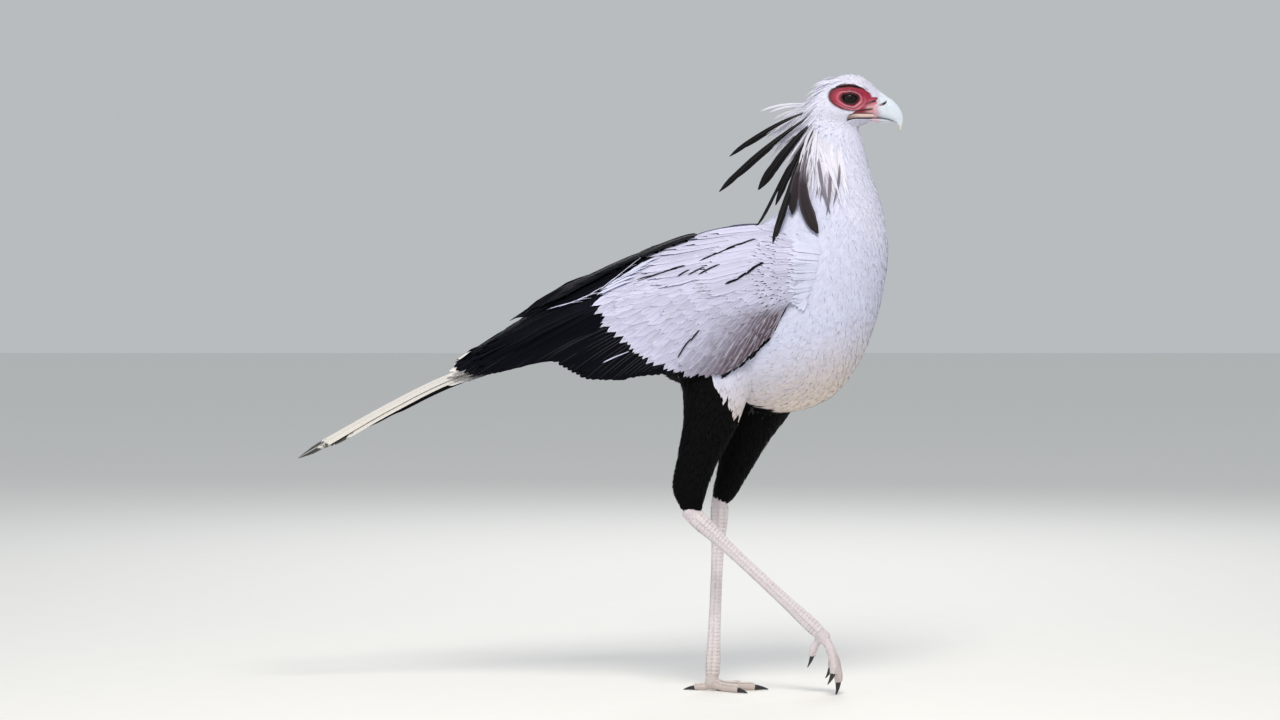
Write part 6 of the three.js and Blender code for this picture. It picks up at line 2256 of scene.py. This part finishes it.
@dataclass
class Eye:
    """One eyeball with a clear dome over the iris, and the lashes over it."""

    side: float
    name: str
    skin: Surface
    rng: np.random.Generator
    lash_count: int = 26
    lash_ring: tuple[float, float] = (15.2, 10.4)  # how far from the eye's middle they grow, along and up

    def build(self) -> list[bpy.types.Object]:
        """Build the ball and the lashes."""
        ball = self.ball()
        lashes = self.lashes()
        return [ball, lashes]

    def ball(self) -> bpy.types.Object:
        """Build the eyeball with its cornea's slight bulge."""
        tilt, turn = ball_grid(40, 56, 0.02)
        radius = EYE_RADIUS + 0.55 * bell(tilt, 0.62)
        off = radius * np.sin(tilt)
        rings = np.stack([off * np.cos(turn), self.side * radius * np.cos(tilt), off * np.sin(turn)], -1)
        centre = EYE * (1, self.side, 1)
        ball = loft_object(f"{self.name}_eye", rings + centre)
        points = mesh_points(ball) - centre
        ring = np.hypot(points[:, 0], points[:, 2])
        add_attribute(ball, "Ring", np.where(points[:, 1] * self.side > 0, ring, EYE_RADIUS))
        ball.data.materials.append(EyeFinish().make())
        return ball

    def lashes(self) -> bpy.types.Object:
        """Build stiff lashes that lean out over the upper lid, longest in the middle."""
        lines = []
        wide, tall = self.lash_ring
        for i in range(self.lash_count):
            share = i / (self.lash_count - 1)
            angle = math.radians(168 - 150 * share)
            root = np.array([EYE[0] + wide * math.cos(angle), 0.0, EYE[2] + tall * math.sin(angle)])
            reach = self.surface_reach(root)
            start = np.array([root[0], self.side * (reach - 0.5), root[2]])
            length = (5.0 + 5.0 * math.sin(math.pi * share)) * (0.85 + 0.3 * self.rng.random())
            lean = np.array([0.75 * math.cos(angle) + 0.35, self.side * 0.85, 0.10 + 0.30 * math.sin(angle)])
            lean = unit(lean + self.rng.normal(0, 0.06, 3))
            t = np.linspace(0, 1, 7)[:, None]
            lift = np.array([0.0, -0.1 * self.side, 0.38]) * length * t**2
            lines.append(start + lean * length * t + lift)
        return tubes(f"{self.name}_lashes", lines, 0.38, 0.2, LASH_BRISTLE.make(), 5)

    def surface_reach(self, root: Array) -> float:
        """How far out the skin lies at a place in the side view."""
        start = Vector((root[0], self.side * 80, root[2]))
        hit = self.skin.tree.ray_cast(start, Vector((0, -self.side, 0)))
        return abs(hit[0][1]) if hit[0] is not None else 34.0


RIGHT_ANKLE = np.array([164.0, -50.0, 325.0])
LEFT_ANKLE = np.array([216.0, 38.0, 337.0])
LEFT_FOOT = np.array([202.0, 4.0, 15.0])
SHANK_SLOPE = math.radians(43)
SHANK = 324.0
RIGHT_FOOT = RIGHT_ANKLE + np.array([math.cos(SHANK_SLOPE), -0.02, -math.sin(SHANK_SLOPE)]) * SHANK
SHANK_HIGH = [15, 15, 11.5, 10.2, 10, 10.2, 11, 12.5, 11]
SHANK_WIDE = [12, 12, 9, 7.8, 7.6, 7.8, 8.6, 12, 11]
TOE_BULGES = [1, 1, 0.86, 0.98, 0.84, 0.92, 0.7]


@dataclass(frozen=True)
class Toe:
    """One toe: its middle line from the foot's joint, its thickness, its claw and the claw's way."""

    name: str
    line: tuple[tuple[float, float, float], ...]
    thick: float
    claw: float
    way: tuple[float, float, float]
    droop: float = 0.0


@dataclass
class Leg:
    """A scaled lower leg and foot, with plates over the front of the shank and the tops of the toes."""

    side: float
    name: str
    ankle: Array
    foot: Array
    upward: Array
    toes: tuple[Toe, ...]
    plate_count: int = 44  # plates in each row down the shank
    plate_step: float = 4.6  # from one plate to the next along a toe, in millimetres

    def build(self) -> list[bpy.types.Object]:
        """Build the leg's pieces."""
        finish = ScaleFinish(f"{self.name}_leg_scales").make()
        parts = [self.shank()] + [self.toe(toe) for toe in self.toes] + [self.pad()]
        flesh = fused(f"{self.name}_leg", parts, 1.7, 2)
        self.flatten(flesh)
        face_outwards(flesh)
        flesh.data.materials.clear()
        flesh.data.materials.append(finish)
        plates = self.plates(ScaleFinish(f"{self.name}_leg_scutes", body="#D9CED3", scale=1.6, seams=0.12).make())
        claws = [self.claw(toe) for toe in self.toes]
        return [flesh, plates, *claws]

    def shank_frame(self, t: Array) -> tuple[Array, Array, Array]:
        """The shank's middle line with its way across and its way to the front."""
        line = self.ankle + (self.foot - self.ankle) * np.asarray(t)[..., None]
        way = unit(self.foot - self.ankle)
        across = unit(np.cross(np.array([1.0, 0.0, 0.3]), way))
        front = unit(np.cross(way, across))
        return line, across, front

    def shank(self) -> bpy.types.Object:
        """Build the shank as one long tube."""
        along, around = 80, 36
        t = np.linspace(0, 1, along)
        line, across, front = self.shank_frame(-0.05 + 1.07 * t)
        closed = np.sqrt(np.clip(1 - (1 - np.clip(t / 0.035, 0, 1)) ** 2, 0.02, 1))[:, None]
        high = catmull(SHANK_HIGH, t) * closed
        wide = catmull(SHANK_WIDE, t) * closed
        turn = circle(around)
        ring = front * np.cos(turn)[:, None] * high[:, None] + across * np.sin(turn)[:, None] * wide[:, None]
        return loft_object("shank", line[:, None] + ring)

    def pad(self) -> bpy.types.Object:
        """Build the ball of the foot."""
        tilt, turn = ball_grid(24, 32, 0.05)
        ball = np.stack([np.sin(tilt) * np.cos(turn), np.sin(tilt) * np.sin(turn), np.cos(tilt)], -1) * 12.5
        return loft_object("pad", ball + self.foot)

    def toe_line(self, toe: Toe, t: Array) -> tuple[Array, Array, Array, Array]:
        """A toe's middle line with its tangent, way across and way up."""
        line = self.foot + catmull(toe.line, t)
        tangent = unit(catmull(toe.line, np.clip(t + 0.01, 0, 1)) - catmull(toe.line, np.clip(t - 0.01, 0, 1)))
        across = unit(np.cross(np.broadcast_to(self.upward, tangent.shape), tangent))
        return line, tangent, across, unit(np.cross(tangent, across))

    def toe(self, toe: Toe) -> bpy.types.Object:
        """Build one toe with its joints' bulges."""
        along, around = 56, 26
        t = np.linspace(0, 1, along)
        line, _, across, up = self.toe_line(toe, t)
        thick = toe.thick * catmull(TOE_BULGES, t)[:, :1]
        pads = 1 + 0.07 * np.abs(np.sin(t * math.pi * 3.5))[:, None]
        turn = circle(around)
        lower = np.where(np.cos(turn) < 0, pads, 1.0)
        ring = (
            up[:, None] * (np.cos(turn) * lower * thick)[..., None]
            + across[:, None] * (0.94 * np.sin(turn) * thick)[..., None]
        )
        return loft_object("toe", line[:, None] + ring)

    def flatten(self, flesh: bpy.types.Object) -> None:
        """Press the sole flat where it meets the floor."""
        points = mesh_points(flesh)
        points[:, 2] = np.maximum(points[:, 2], SOLE)
        move_points(flesh, points)

    def claw(self, toe: Toe) -> bpy.types.Object:
        """Build one claw, curving down to a blunt point."""
        along, around = 40, 22
        end, tangent, across, up = self.toe_line(toe, np.array([1.0]))
        way = unit(np.array(toe.way)) if toe.droop == 0 else unit(tangent[0] * (1, 1, 0))
        t = np.linspace(0, 1, along)
        start = end[0] - way * 0.3 * toe.claw
        sag = np.array([0, 0, -1.0]) * toe.droop
        curl = -up[0] * 0.32 * toe.claw if toe.droop == 0 else np.zeros(3)
        line = start + way * (toe.claw * 1.3 * t)[:, None] + sag * (t**2)[:, None] + curl * (t**2)[:, None]
        radius = np.maximum(toe.thick * 0.66 * (1 - 0.86 * t**1.5), 0.5)
        turn = circle(around)
        ring = (
            up[0] * np.cos(turn)[:, None] * radius[:, None, None]
            + across[0] * 0.8 * np.sin(turn)[:, None] * radius[:, None, None]
        )
        made = loft_object(f"{self.name}_{toe.name}_claw", line[:, None] + ring)
        points = mesh_points(made)
        points[:, 2] = np.maximum(points[:, 2], SOLE)
        add_attribute(made, "Along", np.clip(((points - start) @ way) / (1.3 * toe.claw), 0, 1))
        move_points(made, points)
        made.data.materials.append(CLAW_HORN.make())
        return made

    def plates(self, finish: bpy.types.Material) -> bpy.types.Object:
        """Lay plates in seven rows round the shank, the two front rows the broadest, and over each toe in one."""
        spots, normals, ways, sizes = [], [], [], []
        count = self.plate_count
        for row, turn in ((0, 0.42), (1, -0.42), (2, 1.25), (3, -1.25), (4, 2.2), (5, -2.2), (6, math.pi)):
            for i in range(count):
                t = 0.03 + 0.93 * (i + 0.5 * (row % 2)) / count
                line, across, front = self.shank_frame(np.array([t]))
                share = np.array([(t + 0.05) / 1.07])
                high, wide = catmull(SHANK_HIGH, share)[0, 0], catmull(SHANK_WIDE, share)[0, 0]
                out = front * math.cos(turn) * high + across * math.sin(turn) * wide
                spots.append(line[0] + out * 0.985)
                normals.append(unit(front * math.cos(turn) / high + across * math.sin(turn) / wide))
                ways.append(unit(self.foot - self.ankle))
                wide_plate = 0.50 * wide if row > 1 else 0.62 * wide
                sizes.append((SHANK * 0.93 / count * 0.60, wide_plate, 0.9 if row < 2 else 0.55))
        for toe in self.toes:
            length = float(np.linalg.norm(np.diff(np.array(toe.line), axis=0), axis=1).sum())
            rings = int(length / self.plate_step)
            for i in range(rings):
                t = np.array([0.16 + 0.82 * i / rings])
                line, tangent, _, up = self.toe_line(toe, t)
                thick = toe.thick * catmull(TOE_BULGES, t)[0, 0]
                spots.append(line[0] + up[0] * thick * 0.97)
                normals.append(up[0])
                ways.append(tangent[0])
                sizes.append((2.9, 0.74 * thick, 0.8))
        plate = self.plate()
        carrier = bpy.data.meshes.new("plate_places")
        carrier.from_pydata((np.array(spots) * MM).tolist(), [], [])
        made = linked(f"{self.name}_leg_plates", carrier)
        turns = []
        for normal, way in zip(normals, ways):
            z = Vector(normal)
            x = (Vector(way) - z * Vector(way).dot(z)).normalized()
            y = z.cross(x)
            turns.append(Matrix((x, y, z)).transposed().to_euler("XYZ")[:])
        add_attribute(made, "Turn", np.array(turns))
        add_attribute(made, "Size", np.array(sizes) * MM)
        tree, keys = plate_tree()
        grown(made, tree, {keys["Plate"]: plate, keys["Variation"]: 0.09, keys["Seed"]: SEED, keys["Finish"]: finish})
        bpy.data.objects.remove(plate)
        return made

    def plate(self) -> bpy.types.Object:
        """Build the plate that all rows repeat, one unit long and wide and closed below."""
        rows, cols = 5, 7
        u, v = np.meshgrid(np.linspace(-1, 1, rows), np.linspace(-1, 1, cols), indexing="ij")
        round_off = np.clip(1 - np.abs(u) ** 3 * np.abs(v) ** 3 * 0.35, 0.5, 1)
        height = (1 - u**4) * (1 - v**4) * 1.0 - 0.7 * v**2
        top = np.stack([u * round_off, v * round_off, height], -1).reshape(-1, 3)
        low = top * (0.9, 0.9, 0) + (0, 0, -1.6)
        faces: list[tuple[int, ...]] = []
        n = rows * cols
        for i in range(rows - 1):
            for j in range(cols - 1):
                a = i * cols + j
                faces.append((a, a + cols, a + cols + 1, a + 1))
                faces.append((n + a, n + a + 1, n + a + cols + 1, n + a + cols))
        rim = [*range(cols)] + [i * cols + cols - 1 for i in range(1, rows)]
        rim += [(rows - 1) * cols + j for j in range(cols - 2, -1, -1)] + [i * cols for i in range(rows - 2, 0, -1)]
        for a, b in zip(rim, rim[1:] + rim[:1]):
            faces.append((a, b, n + b, n + a))
        made = new_object("plate", np.concatenate([top, low]) / MM, faces)
        face_outwards(made)
        return made


def planted_toe(name: str, foot: Array, heading: float, reach: float, claw: float, thick: float) -> Toe:
    """Lay a toe on the floor: down from the joint, then flat."""
    flat = 0.82 * thick
    shares = np.array([0, 0.25, 0.55, 0.8, 1.0])
    heights = np.array([foot[2], flat + 2.5, flat, flat, 0.8 * flat]) - foot[2]
    way = np.array([math.cos(math.radians(heading)), math.sin(math.radians(heading))])
    line = tuple((way[0] * reach * s, way[1] * reach * s, h) for s, h in zip(shares, heights))
    return Toe(name, line, thick, claw, (way[0], way[1], 0.0), 4.0)


PLANTED_TOES = tuple(
    planted_toe(name, LEFT_FOOT, heading, reach, claw, thick)
    for name, heading, reach, claw, thick in (
        ("middle", 1, 78, 24, 8.5), ("inner", -38, 60, 20, 8), ("outer", 36, 64, 20, 8), ("hind", 172, 32, 20, 7),
    )
)
HANGING_TOES = (
    Toe("middle", ((0, 0, 0), (12, 0, -20), (21, 0, -42), (26, 0, -64), (27, 0, -82)), 8.5, 24, (0.12, 0, -1)),
    Toe("inner", ((0, 2, 0), (9, 14, -16), (15, 22, -32), (17, 27, -48), (15, 30, -60)), 8, 20, (-0.18, 0.12, -1)),
    Toe(
        "outer", ((0, -2, 0), (10, -13, -17), (16, -21, -35), (18, -26, -51), (16, -29, -64)), 8, 20,
        (-0.18, -0.12, -1),
    ),
    Toe("hind", ((0, 0, 0), (-11, 2, -10), (-17, 4, -21), (-20, 5, -31), (-20, 5, -36)), 7, 20, (-0.1, 0.05, -1)),
)


@dataclass
class Studio:
    """A pale paper floor, soft lights, and the camera at the side."""

    distance: float = 8.0
    frame_width: float = 2.304
    aim: tuple[float, float, float] = (0.072, 0.0, 0.598)
    elevation: float = math.radians(3.0)
    sensor: float = 36.0
    floor_half: float = 12000.0
    air: str = "#DDE2E6"
    air_strength: float = 0.66
    lights: tuple[tuple[str, tuple[float, float, float], float, float, str], ...] = (
        ("key", (0.3, -2.2, 3.5), 1.3, 94, "#FFF8EE"),
        ("fill", (-3.0, -2.4, 1.6), 3.0, 16, "#EAF1FF"),
        ("rim", (0.4, 3.0, 2.6), 2.4, 40, "#FFFFFF"),
    )

    def build(self) -> None:
        """Set up the floor, the lights and the camera."""
        self.floor()
        for light in self.lights:
            self.light(*light)
        bpy.context.scene.view_settings.view_transform = "Standard"
        world = bpy.data.worlds.new("studio_air")
        world.use_nodes = True
        background = world.node_tree.nodes["Background"]
        background.inputs["Color"].default_value = colour(self.air)
        background.inputs["Strength"].default_value = self.air_strength
        bpy.context.scene.world = world
        camera = bpy.data.cameras.new("side_camera")
        camera.sensor_width = self.sensor
        camera.lens = self.sensor * self.distance / self.frame_width
        holder = linked("side_camera", camera)
        aim = Vector(self.aim)
        offset = Vector((0, -math.cos(self.elevation), math.sin(self.elevation))) * self.distance
        holder.location = aim + offset
        holder.rotation_euler = (-offset).to_track_quat("-Z", "Y").to_euler()
        bpy.context.scene.camera = holder

    def floor(self) -> None:
        """Lay the paper."""
        size = self.floor_half
        corners = np.array([(-size, -size, 0), (size, -size, 0), (size, size, 0), (-size, size, 0)])
        paper = new_object("studio_floor", corners, [(0, 1, 2, 3)])
        paper.data.materials.append(PaperFinish().make())

    def light(self, name: str, place: tuple[float, float, float], size: float, power: float, tint: str) -> None:
        """Add one soft light that faces the bird."""
        lamp = bpy.data.lights.new(name, "AREA")
        lamp.size = size
        lamp.energy = power
        lamp.color = colour(tint)[:3]
        holder = linked(name, lamp)
        holder.location = place
        holder.rotation_euler = (Vector(self.aim) - Vector(place)).to_track_quat("-Z", "Y").to_euler()


def shown(pieces: Sequence[bpy.types.Object], replaced: Sequence[bpy.types.Object], label: str) -> None:
    """Hand finished pieces over in place of the solids they dress."""
    for piece in pieces:
        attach(piece, "root")
        log.info("%s: %s, %d faces", label, piece.name, len(piece.data.polygons))
    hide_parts(*replaced)


def main() -> None:
    """Build and dress the bird."""
    logging.basicConfig(level=logging.INFO, format="%(message)s")
    nodes = frame["nodes"]
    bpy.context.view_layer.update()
    rng = np.random.default_rng(SEED)
    flesh = Flesh()
    skin = flesh.build()
    surface = Surface(skin)
    shown([skin], ["head", "nape", "neck", "torso", "thigh_right", "thigh_left"], "skin")
    coat = Coat(flesh, surface, Lie(surface)).build()
    for piece in coat:
        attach(piece, "root")
    for side, name in ((-1.0, "right"), (1.0, "left")):
        shown(Wing(side, f"{name}_wing", surface, rng).build(), [f"wing_{name}"], "wing")
    shown(Tail(rng).build(), ["tail"], "tail")
    for piece in Crest(surface, flesh, rng).build():
        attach(piece, "root")
    bill = Bill(surface).build()
    shown(bill, ["bill_upper", "bill_lower"], "bill")
    for side, name in ((-1.0, "right"), (1.0, "left")):
        shown(Eye(side, name, surface, rng).build(), [f"eye_{name}"], "eye")
    forward, upright = np.array([1.0, 0.0, 0.0]), np.array([0.0, 0.0, 1.0])
    legs = (
        Leg(-1.0, "right", RIGHT_ANKLE, RIGHT_FOOT, forward, HANGING_TOES),
        Leg(1.0, "left", LEFT_ANKLE, LEFT_FOOT, upright, PLANTED_TOES),
    )
    for leg in legs:
        solids = [f"tarsus_{leg.name}", f"foot_{leg.name}"]
        solids += [f"claw_{leg.name}_{toe.name}" for toe in leg.toes]
        shown(leg.build(), solids, "leg")
    Studio().build()
    log.info("nodes: %d", len(nodes))


if __name__ == "__main__":
    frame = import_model()
    main()
